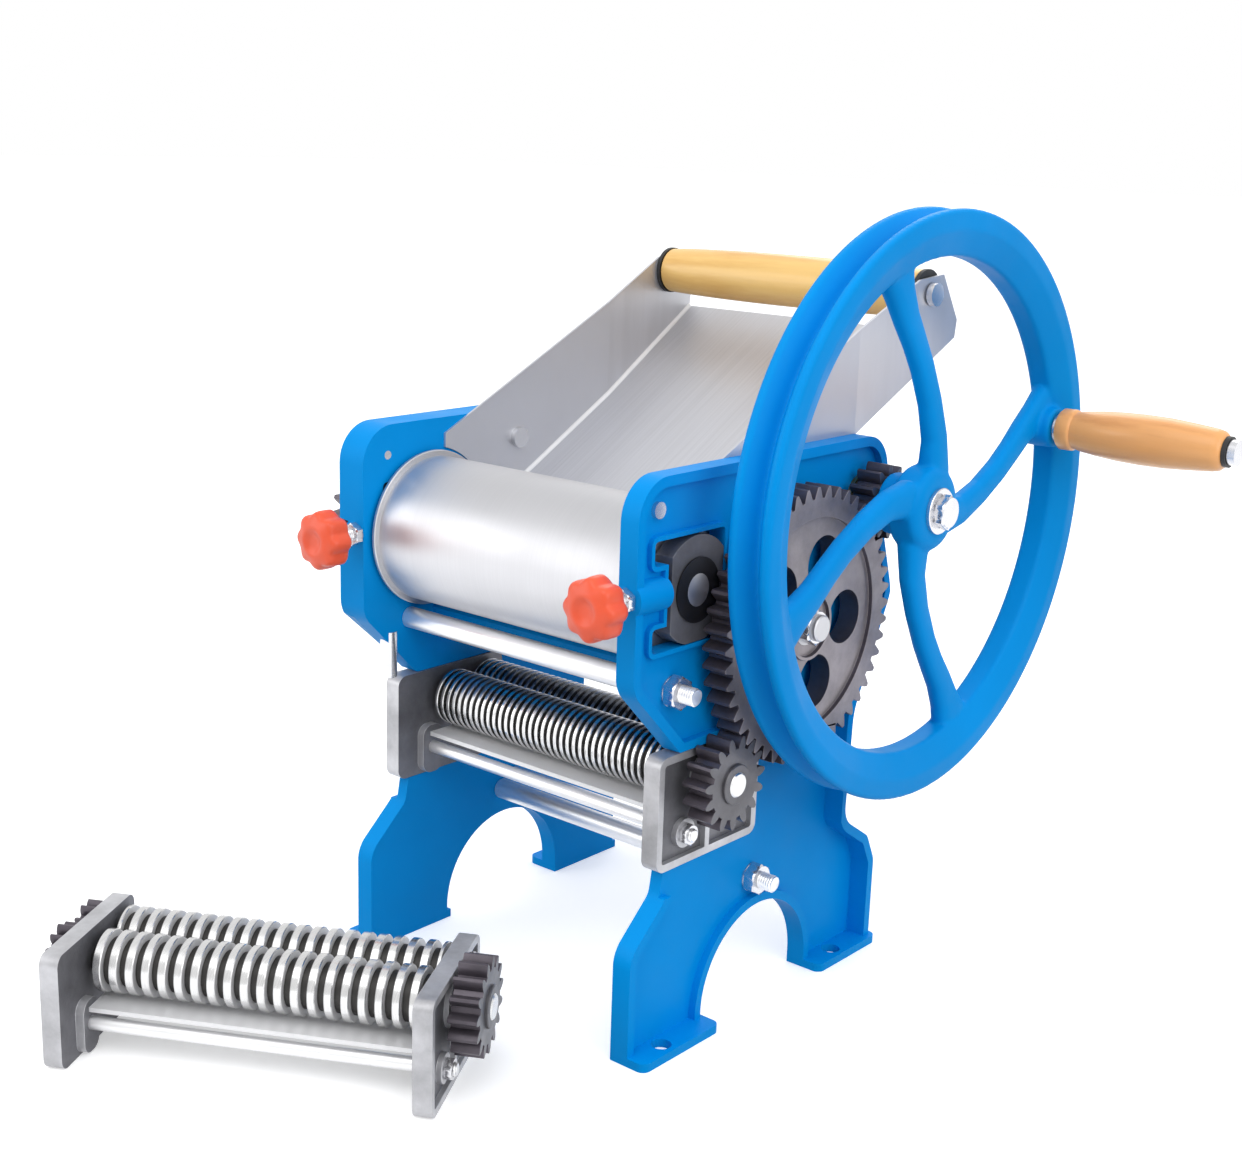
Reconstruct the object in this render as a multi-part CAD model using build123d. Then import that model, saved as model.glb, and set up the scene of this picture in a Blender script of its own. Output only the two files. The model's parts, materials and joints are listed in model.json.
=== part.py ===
"""Hand cranked noodle press: two cast side plates carry a pair of smooth rollers that sheet the
dough and a removable block of cutting rollers that slices the sheet; a second block, with wide
cuts, stands on the table beside it.

Millimetres. +X points to the hand wheel, +Y to the back, +Z up. The origin lies on the table, at
the centre of the four foot bolt holes.
"""
from build123d import *

import math
import os

# ---- clearances -----------------------------------------------------------------------------
running = 0.05          # radial clearance of a shaft in its bearing
slip = 0.3              # gap between parts that slide or pass each other
backlash = 0.3          # play between gear teeth, measured on the pitch circle

# ---- side plates ----------------------------------------------------------------------------
plate_gap = 152.0       # between the inner faces of the two side plates
web = 6.0               # thickness of the flat casting
rim_depth = 3.5         # how far the border rib stands out of the web
back_rim_depth = 10.0   # and how far it does behind, from the shoulder down to the foot
rim_width = 4.5
rim_taper = 28.0        # height over which the rib rises to its full depth
arch_rib = 3.5          # how far the arch's rib stands out of the web
plate_top = 254.5
plate_front = -89.0
plate_rear = 91.5
waist_rear = 66.0
leg_front = -85.0
leg_rear = 92.5
shin_height = 70.0      # where the front edge turns back above the front foot
waist_height = 126.0    # the narrowest place, behind
shoulder_height = 180.0
jaw_height = 167.0      # where the front edge turns in under the rollers
hip_height = 58.0       # top of the rear foot's bulge
corner = 18.0           # radius of the two upper corners
arch_y = 5.5
arch_spring = 6.5       # height of the arch's centre
arch_radius = 40.0
arch_rib_width = 4.0
foot_width = 19.0       # foot flanges, from a plate's inner face to their outer edge
foot_thick = 4.0
foot_overhang = 2.5     # how far a flange runs past its leg
foot_corner = 4.0
bolt_inset = 7.0        # from a flange's outer edge to its bolt holes
bolt_spacing_y = 130.0
foot_hole = 4.5         # radius

# ---- rollers and gears ----------------------------------------------------------------------
module = 2.5            # of the drive gears
pressure_angle = 25.0
addendum = 0.9          # in modules
dedendum = 1.15
big_teeth = 48
pinion_teeth = 12
cutter_teeth = 15
roller_teeth = 28       # the equal gears that tie the two smooth rollers together
gear_face = 12.5
gear_gap = 4.0          # between a plate's web and the gears beside it
rear_y = 16.4
rear_z = 178.3
roller_rise = 21.3      # degrees that the front roller's axis lies above the rear one's
wheel_rise = 39.5       # degrees, the drive shaft's axis above the rear roller's
cutter_fall = 229.8     # degrees, direction of the cutters' drive gear from the rear roller
roller_r = 34.2
end_room = 4.0          # between a roller's end and a side plate
collar_r = 36.6
collar_thick = 2.2
journal_r = 11.0
gear_seat_r = 9.0
shaft_end_r = 6.0
shaft_end = 6.0         # threaded end of a roller, standing out of its gear
hole_circle = 28.5      # the five holes in the big gear
lightening_hole = 12.3
gear_dish_r = 48.5
gear_dish = 2.0
gap_travel = 2.0        # how far the front roller opens
screw_pitch = 1.5

# ---- bearing windows ------------------------------------------------------------------------
window_front = -68.0
window_rear = -31.0
window_low = 181.0
window_high = 228.0
ear_reach = 9.0         # the two corners that run on towards the front edge
ear_height = 10.5
housing_r = 23.3        # round front of a bearing block
housing_proud = 2.5     # how far it stands out of the casting
housing_front = -65.6
housing_rear = -31.6
knob_screw_r = 3.0
knob_screw_inset = 4.5  # its axis, from a plate's inner face
knob_screw_z = 205.5
knob_boss_r = 7.5
knob_r = 13.5
knob_lobes = 8
knob_thick = 11.0
knob_gap = 9.0          # between the plate's front edge and the knob

# ---- hand wheel -----------------------------------------------------------------------------
wheel_r = 132.7
wheel_rim = 20.7        # from the rim's outside to its inside
wheel_side = 9.0        # flat part of the rim's sides
wheel_width = 20.7
wheel_lip = 11.6        # thickness at the rim's inner edge
groove_depth = 9.0
groove_width = 13.0
spoke_count = 4
spoke_thick = 9.0
hub_r = 19.0
hub_boss_r = 14.0
wheel_stand = 27.8      # from the gears' outer face to the rim's outer face
drive_shaft_r = 8.0
handle_inset = 25.2     # from the rim's outside to the handle's axis
handle_angle = 14.5
handle_pad_r = 10.0
grip_length = 82.0
grip_r = 12.0
grip_neck_r = 10.0
spindle_r = 4.0

# ---- hopper ---------------------------------------------------------------------------------
sheet = 1.2
tray_rise = 29.2        # degrees
tray_foot_y = -2.0
tray_foot_z = 211.5
tray_back_y = 149.0
flare_from = 76.0       # the side walls bend outward behind this line
flare = 5.0             # degrees
wall_front_y = -39.0
wall_front_z = 247.0
bar_y = 128.0
bar_z = 316.0
bar_r = 12.8
bar_end_r = 11.0
bar_ring = 2.0
hopper_screw_y = 10.0
hopper_screw_z = 240.0

# ---- tie rods -------------------------------------------------------------------------------
rod_r = 4.0
rod_tip = 14.0          # thread standing out of a plate's web
nut_r = 7.5             # across the corners, halved
nut_thick = 6.5
upper_rod_back = 28.4   # behind the plate's front edge
upper_rod_drop = 16.3   # below the rear roller's axis
lower_rod = (3.0, 59.4)
guide_rod_r = 2.5
guide_rod = (13.0, 66.0)
cross_plate_thick = 3.0
cross_plate_lean = (14.0, 19.0)     # from its upper edge back and down to its lower edge

# ---- cutter blocks --------------------------------------------------------------------------
block_depth = 70.0      # end plate, front to back
block_height = 51.5
end_plate = 8.5
end_plate_rim = 2.5     # the rib round an end plate's outer face
block_front = -68.0
block_bottom = 82.0
cutter_gap = 24.0       # between the axes of the two cutting rollers
cutter_r = 13.5
cutter_end_room = 3.0   # between a cutting roller's end and a side plate
cutter_journal_r = 5.5
sync_module = 2.0
sync_teeth = 12
sync_face = 8.0
block_rod_r = 3.0
block_rod_inset = 19.0  # from the end plate's front edge
block_rod_height = 14.0
comb_thick = 2.0
fine_discs = 38
wide_discs = 20
tongue_r = 6.5
tongue_top = 25.0
tongue_thick = 4.0
block_travel = 110.0
spare_turn = 29.5       # degrees, as the loose block stands on the table
spare_place = (-15.5, -213.5)   # middle of its front edge


# ---- places that follow from the sizes above --------------------------------------------------
def polar(radius, degrees, y=0.0, z=0.0):
    """A point in the side view, given from another one by distance and direction."""
    angle = math.radians(degrees)
    return (y + radius * math.cos(angle), z + radius * math.sin(angle))


inner = plate_gap / 2
outer = inner + web
roller_length = plate_gap - 2 * end_room
cutter_length = plate_gap - 2 * cutter_end_room
foot_reach = inner + foot_width
bolt_spacing_x = 2 * (foot_reach - bolt_inset)
rim_face = outer + rim_depth
back_rim_face = outer + back_rim_depth
gear_back = outer + gear_gap
gear_front = gear_back + gear_face
housing_face = outer + housing_proud
knob_screw_x = inner + knob_screw_inset
wheel_front = gear_front + wheel_stand
wheel_inner_r = wheel_r - wheel_rim
handle_circle = wheel_r - handle_inset
rear_axis = (rear_y, rear_z)
front_axis = polar(module * roller_teeth, 180.0 - roller_rise, *rear_axis)
wheel_axis = polar(module * (big_teeth + pinion_teeth) / 2, wheel_rise, *rear_axis)
cutter_axis = polar(module * (big_teeth + cutter_teeth) / 2, cutter_fall, *rear_axis)
handle_axis = polar(handle_circle, handle_angle, *wheel_axis)
block_half = outer + 2.0                    # outer face of a block's end plates
upper_rod = (plate_front + upper_rod_back, rear_z - upper_rod_drop)
cross_plate_top = (upper_rod[0] + 16.0, upper_rod[1] + 3.0)
cross_plate_foot = (cross_plate_top[0] + cross_plate_lean[0], cross_plate_top[1] - cross_plate_lean[1])


# ---- small tools ----------------------------------------------------------------------------
def on_side(x, shape):
    """Put a flat shape drawn as (y, z) on the plane X = x."""
    return Plane.YZ.offset(x) * shape


def prism(shape, x0, x1):
    """Extrude a side view shape from x0 to x1."""
    return extrude(on_side(min(x0, x1), shape), amount=abs(x1 - x0))


def round_bar(radius, x0, x1, axis):
    """A cylinder along X."""
    return prism(Pos(*axis) * Circle(radius), x0, x1)


def hexagon(radius, x0, x1, axis):
    """A hexagonal prism along X, sized across its corners."""
    return prism(Pos(*axis) * RegularPolygon(radius, 6), x0, x1)


def box(x0, x1, y0, y1, z0, z1):
    """A block given by its corners."""
    size = (abs(x1 - x0), abs(y1 - y0), abs(z1 - z0))
    return Pos((x0 + x1) / 2, (y0 + y1) / 2, (z0 + z1) / 2) * Box(*size)


def rounded(corners):
    """A closed outline from (y, z, corner radius) entries."""
    points = [(y, z) for y, z, _ in corners]
    return make_face(FilletPolyline(*points, radius=[r for _, _, r in corners], close=True))


def rectangle(y0, y1, z0, z1, r=0.0):
    """A side view rectangle with rounded corners."""
    return rounded([(y0, z0, r), (y1, z0, r), (y1, z1, r), (y0, z1, r)])


def turned(profile, axis):
    """Revolve a closed (x, radius) profile about an axis along X."""
    face = make_face(Polyline(*profile, close=True))
    return Pos(0, *axis) * revolve(face, axis=Axis.X)


def mirrored(shape):
    """The same piece on the other side of the press."""
    return mirror(shape, about=Plane.YZ)


def as_one(pieces):
    """A group of separate solids kept in one node."""
    solids = []
    for piece in pieces:
        solids.extend(piece.solids())
    return Compound(children=solids)


# ---- gears ----------------------------------------------------------------------------------
def involute(angle):
    return math.tan(angle) - angle


def gear_outline(teeth, size, phase):
    """A spur gear's outline; phase is the direction of one tooth's middle, in degrees."""
    pitch_r = size * teeth / 2
    base_r = pitch_r * math.cos(math.radians(pressure_angle))
    tip_r = pitch_r + addendum * size
    root_r = pitch_r - dedendum * size
    at_pitch = involute(math.radians(pressure_angle))
    thickness = math.pi / (2 * teeth) - backlash / (4 * pitch_r)

    def half_angle(radius):
        grip = math.acos(min(1.0, base_r / max(radius, base_r)))
        return thickness + at_pitch - involute(grip)

    flank = [root_r, max(base_r, root_r + 0.2 * size), pitch_r + 0.2 * size, tip_r]
    points = []
    for tooth in range(teeth):
        middle = math.radians(phase) + 2 * math.pi * tooth / teeth
        for radius in flank:
            points.append(polar(radius, math.degrees(middle - half_angle(radius))))
        for radius in reversed(flank):
            points.append(polar(radius, math.degrees(middle + half_angle(radius))))
    return make_face(Polyline(*points, close=True))


def meshed_phase(phase, teeth, mate_teeth, line):
    """The phase of a gear that meshes with one of the given phase, across a line of centres."""
    return line + 180.0 + 180.0 / mate_teeth - (phase - line) * teeth / mate_teeth


def gear(teeth, size, phase, axis, x0, x1, bore):
    """A spur gear along X."""
    blank = gear_outline(teeth, size, phase) - Circle(bore)
    return prism(Pos(*axis) * blank, x0, x1)


big_phase = 0.0
pinion_phase = meshed_phase(big_phase, big_teeth, pinion_teeth, wheel_rise)
cutter_phase = meshed_phase(big_phase, big_teeth, cutter_teeth, cutter_fall)
roller_phase = meshed_phase(0.0, roller_teeth, roller_teeth, 180.0 - roller_rise)


# ---- side plates ----------------------------------------------------------------------------
def plate_outline():
    """The side view of a side plate, without its arch and holes."""
    notch_low = block_bottom - slip
    notch_high = block_bottom + block_height + slip
    notch_back = block_front + block_depth + slip
    nose = block_front + 12.0
    return rounded([
        (leg_front, 0, 0),
        (leg_front, shin_height - 20, 14),
        (leg_front + 22, shin_height, 8),
        (block_front + 7, notch_low, 2),
        (notch_back, notch_low, 4),
        (notch_back, notch_high, 4),
        (nose, notch_high, 4),
        (plate_front + 20, jaw_height - 20, 12),
        (plate_front, jaw_height, 14),
        (plate_front, plate_top, corner),
        (plate_rear, plate_top, corner),
        (plate_rear, shoulder_height, 26),
        (waist_rear, waist_height, 30),
        (waist_rear - 2, hip_height + 14, 12),
        (leg_rear - 7, hip_height, 8),
        (leg_rear, hip_height - 14, 10),
        (leg_rear, 0, 0),
    ])


def arch(radius):
    """The arch between the feet."""
    feet = rectangle(arch_y - radius, arch_y + radius, -1, arch_spring)
    return feet + Pos(arch_y, arch_spring) * Circle(radius)


def window():
    """The opening that a bearing block slides in."""
    front = window_front - ear_reach
    top_ear = rectangle(front, window_front + 3, window_high - ear_height, window_high, 2)
    low_ear = rectangle(front, window_front + 3, window_low, window_low + ear_height, 2)
    return rectangle(window_front, window_rear, window_low, window_high, 2) + top_ear + low_ear


def foot_flanges():
    """Front and back edges of the two feet's flanges."""
    front = (leg_front, arch_y - arch_radius + foot_overhang)
    rear = (arch_y + arch_radius, leg_rear + foot_overhang)
    return [front, rear]


def knob_line(radius, y0, y1):
    """A cylinder along Y on the gap screw's line."""
    bar = Pos(knob_screw_x, (y0 + y1) / 2, knob_screw_z) * Rot(90, 0, 0)
    return bar * Cylinder(radius, abs(y1 - y0))


def border_rib(outline, drive_side):
    """The rib round the casting: low in front, deep behind, and open where the block goes in."""
    inside = offset(outline, amount=-rim_width, kind=Kind.ARC)
    ring = outline - inside - arch(arch_radius)
    rib = prism(ring, outer, rim_face)
    top = shoulder_height + rim_taper
    back = prism(ring & rectangle(arch_y, leg_rear, 0, top), outer, back_rim_face)
    slope = make_face(Polyline((rim_face, top), (back_rim_face, top),
                               (back_rim_face, shoulder_height), close=True))
    rib += back - extrude(Plane.XZ.offset(-leg_rear) * slope, amount=leg_rear)
    notch_top = block_bottom + block_height + 1
    open_to = waist_rear - rim_width - slip
    rib -= box(outer, back_rim_face, block_front - 2, open_to, block_bottom - 12, notch_top)
    rib -= box(outer, back_rim_face, leg_front + rim_width, leg_rear - rim_width, -1, rim_width)
    if drive_side:
        room = module * addendum + 2.0
        rib -= round_bar(module * big_teeth / 2 + room, rim_face, back_rim_face, rear_axis)
    return rib


def side_plate(drive_side):
    """A casting for the right hand side."""
    outline = plate_outline()
    plate = prism(outline - arch(arch_radius), inner, outer)
    plate += border_rib(outline, drive_side)
    arch_edge = arch(arch_radius + arch_rib_width) - arch(arch_radius)
    plate += prism(arch_edge & outline, outer, outer + arch_rib)
    lip = offset(window(), amount=2.0, kind=Kind.ARC) - window()
    plate += prism(lip, outer, outer + 2.5)
    boss = knob_line(knob_boss_r, plate_front, window_front - slip)
    plate += boss - box(0, inner, 2 * plate_front, 0, 0, plate_top)
    for y0, y1 in foot_flanges():
        flange = box(inner, foot_reach, y0, y1, 0, foot_thick)
        corners = flange.edges().filter_by(Axis.Z).group_by(Axis.X)[-1]
        plate += fillet(corners, foot_corner)
    plate -= prism(window(), outer + 2.5, rim_face) & box(outer, rim_face, window_front, 0, 0, 300)
    plate -= knob_line(knob_screw_r + running, plate_front - 1, window_front + 1)
    for y in (-bolt_spacing_y / 2, bolt_spacing_y / 2):
        plate -= Pos(bolt_spacing_x / 2, y, foot_thick / 2) * Cylinder(foot_hole, foot_thick * 3)
    plate += round_bar(bush_r + 5, outer, outer + 1.5, rear_axis)
    plate -= prism(window(), inner - 1, outer + 2.5) - knob_line(knob_boss_r, plate_front, window_front - slip)
    plate -= round_bar(bush_r, inner - 1, back_rim_face, rear_axis)
    plate -= round_bar(shaft_bush_r, inner - 1, back_rim_face, wheel_axis)
    for rod in (upper_rod, lower_rod):
        plate -= round_bar(rod_r, inner - 1, outer + 1, rod)
    plate -= round_bar(guide_rod_r, inner - 1, guide_rod_end, guide_rod)
    plate -= round_bar(plate_screw_r, inner - 1, outer + 1, plate_screw)
    plate -= round_bar(hopper_screw_r, inner - 1, outer + 1, hopper_screw)
    return plate


def left_plate():
    """The other casting, with the hole for the block's clamp screw."""
    plate = mirrored(side_plate(False))
    return plate - clamp_screw(clamp_screw_r)


def clamp_screw(radius):
    """The upright screw that keeps the mounted block from sliding out."""
    top = clamp_screw_foot + clamp_screw_length
    bar = Pos(-clamp_screw_x, clamp_screw_y, (clamp_screw_foot + top) / 2)
    return bar * Cylinder(radius, clamp_screw_length)


def cross_plate():
    """The sheet between the castings that keeps the dough off the front rod."""
    (y0, z0), (y1, z1) = cross_plate_foot, cross_plate_top
    lean = math.degrees(math.atan2(z1 - z0, y1 - y0))
    middle = Pos((y0 + y1) / 2, (z0 + z1) / 2) * Rot(0, 0, lean)
    return prism(middle * Rectangle(math.hypot(y1 - y0, z1 - z0), cross_plate_thick), -inner, inner)


def tie_rod(axis):
    """A rod with shoulders between the plates and threads outside them."""
    tip = outer + rod_tip
    profile = [(-tip, 0), (-tip, rod_r), (-inner, rod_r), (-inner, rod_r + 1), (inner, rod_r + 1),
               (inner, rod_r), (tip, rod_r), (tip, 0)]
    return turned(profile, axis)


def nuts():
    """The nuts on the outer faces of the castings."""
    pieces = []
    for axis in (upper_rod, lower_rod):
        nut = hexagon(nut_r, outer, outer + nut_thick, axis)
        nut -= round_bar(rod_r, outer, outer + nut_thick, axis)
        pieces += [nut, mirrored(nut)]
    return as_one(pieces)


def bush(outer_r, bore_r, axis, face):
    """A plain bearing ring in a casting."""
    return round_bar(outer_r, inner, face, axis) - round_bar(bore_r, inner, face, axis)


def both_sides(piece):
    return as_one([piece, mirrored(piece)])


# ---- hopper ---------------------------------------------------------------------------------
def tray_z(y):
    """Height of the tray's upper face."""
    return tray_foot_z + (y - tray_foot_y) * math.tan(math.radians(tray_rise))


def wall_x(y):
    """Half width between the outer faces of the hopper's walls."""
    return inner + max(0.0, y - flare_from) * math.tan(math.radians(flare))


def hopper():
    """One bent sheet: an inclined tray between two side walls that open out to the back."""
    drop = sheet / math.cos(math.radians(tray_rise))
    back = tray_back_y
    wall = make_face(Polyline(
        (wall_front_y, wall_front_z), (bar_y - 9, bar_z + 7), (bar_y + 9, bar_z + 9),
        (back + 1, bar_z - 13), (back, tray_z(back) - drop), (tray_foot_y, tray_foot_z - drop),
        (nip_guard[0], nip_guard[1]), (wall_front_y, nip_guard[1]), close=True))
    wall -= Pos(*front_axis) * Circle(roller_r + 3.8)
    wall -= Pos(*rear_axis) * Circle(roller_r + 2.0)
    far = back + 10
    bend = make_face(Polyline(
        (wall_x(0), wall_front_y), (wall_x(flare_from), flare_from), (wall_x(far), far),
        (wall_x(far) - sheet, far), (wall_x(flare_from) - sheet, flare_from),
        (wall_x(0) - sheet, wall_front_y), close=True))
    side = prism(wall, 0, foot_reach) & extrude(bend, amount=plate_top * 2)
    side -= round_bar(hopper_screw_r, 0, foot_reach, hopper_screw)
    side -= round_bar(bar_bolt_r, 0, foot_reach, (bar_y, bar_z))
    plan = make_face(Polyline(
        (wall_x(0), tray_foot_y), (wall_x(flare_from), flare_from), (wall_x(back), back),
        (-wall_x(back), back), (-wall_x(flare_from), flare_from), (-wall_x(0), tray_foot_y),
        close=True))
    section = make_face(Polyline(
        (tray_foot_y, tray_foot_z), (back, tray_z(back)), (back, tray_z(back) - drop),
        (tray_foot_y, tray_foot_z - drop), close=True))
    tray = prism(section, -foot_reach, foot_reach) & extrude(plan, amount=plate_top * 2)
    return tray + side + mirrored(side)


def hopper_bar():
    """The turned wooden bar, thicker in the middle, bored at both ends for its bolts."""
    profile = [
        (-bar_half, bar_bolt_r), (-bar_half, bar_end_r), (-bar_half / 2, bar_r - 0.3), (0, bar_r),
        (bar_half / 2, bar_r - 0.3), (bar_half, bar_end_r), (bar_half, bar_bolt_r),
        (bar_half - bar_bore, bar_bolt_r), (bar_half - bar_bore, 0), (bar_bore - bar_half, 0),
        (bar_bore - bar_half, bar_bolt_r)]
    return turned(profile, (bar_y, bar_z))


def bar_ring_piece():
    """The black ring between the bar and a wall."""
    ring = Circle(bar_ring_r) - Circle(bar_bolt_r)
    return prism(Pos(bar_y, bar_z) * ring, bar_half, bar_half + bar_ring)


def hopper_fasteners():
    """The wall screws and the bar's bolts."""
    head_face = inner - sheet
    screw = round_bar(hopper_screw_r, head_face - 2.5, outer, hopper_screw)
    screw += round_bar(hopper_screw_r + 2.5, head_face - 2.5, head_face, hopper_screw)
    bolt_face = wall_x(bar_y + bar_bolt_r + 2.5)
    bolt = round_bar(bar_bolt_r, bar_half - bar_bore + 2, bolt_face + 3, (bar_y, bar_z))
    bolt += round_bar(bar_bolt_r + 2.5, bolt_face, bolt_face + 3, (bar_y, bar_z))
    return as_one([screw, mirrored(screw), bolt, mirrored(bolt)])


def plate_fasteners():
    """The small screws near the front corners of the castings."""
    screw = round_bar(plate_screw_r, inner, outer + 2, plate_screw)
    screw += round_bar(plate_screw_r + 1.5, outer, outer + 2, plate_screw)
    return both_sides(screw)


# ---- smooth rollers ---------------------------------------------------------------------------
def rear_roller():
    """Roller, journals, gear seats and threaded ends in one turning."""
    half = roller_length / 2
    seat = gear_back
    sync_seat = sync_back
    profile = [
        (-half, 0), (-half, roller_r), (half, roller_r), (half, journal_r + 3),
        (inner - slip, journal_r + 3), (inner - slip, journal_r), (seat, journal_r),
        (seat, gear_seat_r), (gear_front - gear_dish, gear_seat_r),
        (gear_front - gear_dish, shaft_end_r), (gear_front + shaft_end, shaft_end_r),
        (gear_front + shaft_end, 0)]
    left = [
        (-sync_front - shaft_end, 0), (-sync_front - shaft_end, shaft_end_r),
        (-sync_front, shaft_end_r),
        (-sync_front, gear_seat_r), (-sync_seat, gear_seat_r), (-sync_seat, journal_r),
        (slip - inner, journal_r), (slip - inner, journal_r + 3), (-half, journal_r + 3)]
    return turned(left + profile[1:], rear_axis)


def front_roller():
    """The roller that the knobs move, with a collar at each end."""
    half = roller_length / 2
    collar = half + slip + collar_thick
    profile = [
        (-sync_front - shaft_end, 0), (-sync_front - shaft_end, shaft_end_r),
        (-sync_front, shaft_end_r),
        (-sync_front, gear_seat_r), (-sync_back, gear_seat_r), (-sync_back, journal_r),
        (-collar, journal_r), (-collar, collar_r), (-half, collar_r), (-half, roller_r),
        (half, roller_r), (half, collar_r), (collar, collar_r), (collar, journal_r),
        (housing_face + 0.2, journal_r), (housing_face + 0.2, front_end_r),
        (housing_face + 1.0, front_end_r), (housing_face + 1.0, 0)]
    return turned(profile, front_axis)


def big_gear():
    """The driven gear, dished between its hub and its toothed ring, with five round holes."""
    body = gear(big_teeth, module, big_phase, rear_axis, gear_back, gear_front, gear_seat_r)
    dish = Circle(gear_dish_r) - Circle(gear_hub_r)
    body -= prism(Pos(*rear_axis) * dish, gear_front - gear_dish, gear_front)
    body -= prism(Pos(*rear_axis) * Circle(gear_seat_r + 5), gear_front - gear_dish, gear_front)
    for spot in range(5):
        centre = polar(hole_circle, big_hole_start + spot * 72.0, *rear_axis)
        body -= round_bar(lightening_hole, gear_back, gear_front, centre)
    return body


def roller_gear(axis, phase):
    """One of the equal gears outside the left casting, with its nut as one piece."""
    body = gear(roller_teeth, module, phase, axis, -sync_front, -sync_back, gear_seat_r)
    nut = hexagon(nut_r + 2.5, -sync_front - 5, -sync_front, axis)
    return body + nut - round_bar(shaft_end_r, -sync_front - 5, -sync_front, axis)


def bearing_block():
    """The block that carries the front roller and slides in the casting's window."""
    shape = Pos(*front_axis) * Circle(housing_r)
    shape &= rectangle(housing_front, housing_rear, window_low + slip, window_high - slip)
    block = prism(shape, inner - 0.8, housing_face)
    block -= round_bar(journal_r + running, inner - 1, housing_face, front_axis)
    return block - knob_line(knob_screw_r + running, housing_front, front_axis[0] - journal_r - 0.8)


# ---- gap knobs ----------------------------------------------------------------------------------
def knob():
    """A lobed knob with a domed face."""
    lobed = Circle(knob_r - 2.4)
    for lobe in range(knob_lobes):
        lobed += Pos(*polar(knob_r - 3.6, lobe * 360.0 / knob_lobes)) * Circle(3.6)
    back = plate_front - knob_gap - 4
    body = extrude(Plane.XZ.offset(-back) * lobed, amount=knob_thick)
    body = Pos(knob_screw_x, 0, knob_screw_z) * body
    dome = Pos(knob_screw_x, back - knob_thick - 1, knob_screw_z) * Rot(90, 0, 0)
    body += dome * Cone(knob_r - 3, knob_r - 6, 2)
    return body - knob_line(knob_screw_r, back - 8, back)


def knob_screw():
    """The screw from the knob through the plate's front edge into the bearing block."""
    back = plate_front - knob_gap - 4
    screw = knob_line(knob_screw_r, back - 8, knob_screw_tip)
    return screw + knob_line(knob_screw_r + 2.5, plate_front - 4, plate_front - 0.2)


# ---- hand wheel -----------------------------------------------------------------------------------
def spoke(turn):
    """One curved spoke, from the hub to the rim."""
    stations = [(0.125, -24.0, 20.0), (0.286, -9.0, 15.0), (0.58, 8.5, 13.0), (0.804, 16.4, 14.0),
                (1.027, 19.0, 22.0)]    # share of the rim's inner radius, degrees, width
    leading = []
    trailing = []
    for share, degrees, width in stations:
        radius = share * wheel_inner_r
        half = math.degrees(width / 2 / radius)
        leading.append(polar(radius, turn + degrees + half))
        trailing.append(polar(radius, turn + degrees - half))
    outline = make_face([
        Spline(*leading), Line(leading[-1], trailing[-1]), Spline(*reversed(trailing)),
        Line(trailing[0], leading[0])])
    return prism(Pos(*wheel_axis) * outline, wheel_mid - spoke_thick / 2, wheel_mid + spoke_thick / 2)


def hand_wheel():
    """Rim with a rope groove, four curved spokes, hub, and a pad for the handle."""
    half = wheel_width / 2
    lip = wheel_lip / 2
    rim = [
        (wheel_mid - half, wheel_r), (wheel_mid - groove_width / 2, wheel_r),
        (wheel_mid, wheel_r - groove_depth), (wheel_mid + groove_width / 2, wheel_r),
        (wheel_mid + half, wheel_r), (wheel_mid + half, wheel_r - wheel_side),
        (wheel_mid + lip, wheel_inner_r), (wheel_mid - lip, wheel_inner_r),
        (wheel_mid - half, wheel_r - wheel_side)]
    wheel = turned(rim, wheel_axis)
    hub = [
        (gear_front + 0.5, 0), (gear_front + 0.5, hub_boss_r), (wheel_mid - half + 3, hub_boss_r),
        (wheel_mid - half + 3, hub_r), (wheel_mid + 6, hub_r), (wheel_mid + 8, hub_r - 5),
        (wheel_mid + 8, 0)]
    wheel += turned(hub, wheel_axis)
    for arm in range(spoke_count):
        wheel += spoke(arm * 360.0 / spoke_count)
    wheel += round_bar(handle_pad_r, wheel_mid - lip, wheel_front, handle_axis)
    wheel -= round_bar(drive_shaft_r, gear_back, wheel_mid + 8, wheel_axis)
    return wheel - round_bar(spindle_r, wheel_mid - lip, wheel_front, handle_axis)


def drive_shaft():
    """The shaft through both castings, bored at the wheel's end for its bolt."""
    end = wheel_mid + 7.5
    profile = [
        (-outer - 8, 0), (-outer - 8, shaft_collar_r), (-outer - 2.3, shaft_collar_r),
        (-outer - 2.3, drive_shaft_r), (end, drive_shaft_r), (end, wheel_bolt_r),
        (end - 18, wheel_bolt_r), (end - 18, 0)]
    return turned(profile, wheel_axis)


def wheel_bolt():
    """Hub bolt with its washer."""
    face = wheel_mid + 8
    bolt = round_bar(wheel_bolt_r, face - 16, face + 2, wheel_axis)
    bolt += round_bar(drive_shaft_r + 2.5, face, face + 1.8, wheel_axis)
    return bolt + hexagon(drive_shaft_r, face + 1.8, face + 7, wheel_axis)


def spindle():
    """The handle's bolt, with its round head at the outer end."""
    start = wheel_mid - wheel_lip / 2
    end = grip_start + grip_length + 2.4
    bolt = round_bar(spindle_r, start, end, handle_axis)
    bolt += round_bar(spindle_r + 3.0, grip_start - 2.2, grip_start - slip, handle_axis)
    return bolt + round_bar(spindle_r + 2.0, end, end + 3.5, handle_axis)


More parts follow.
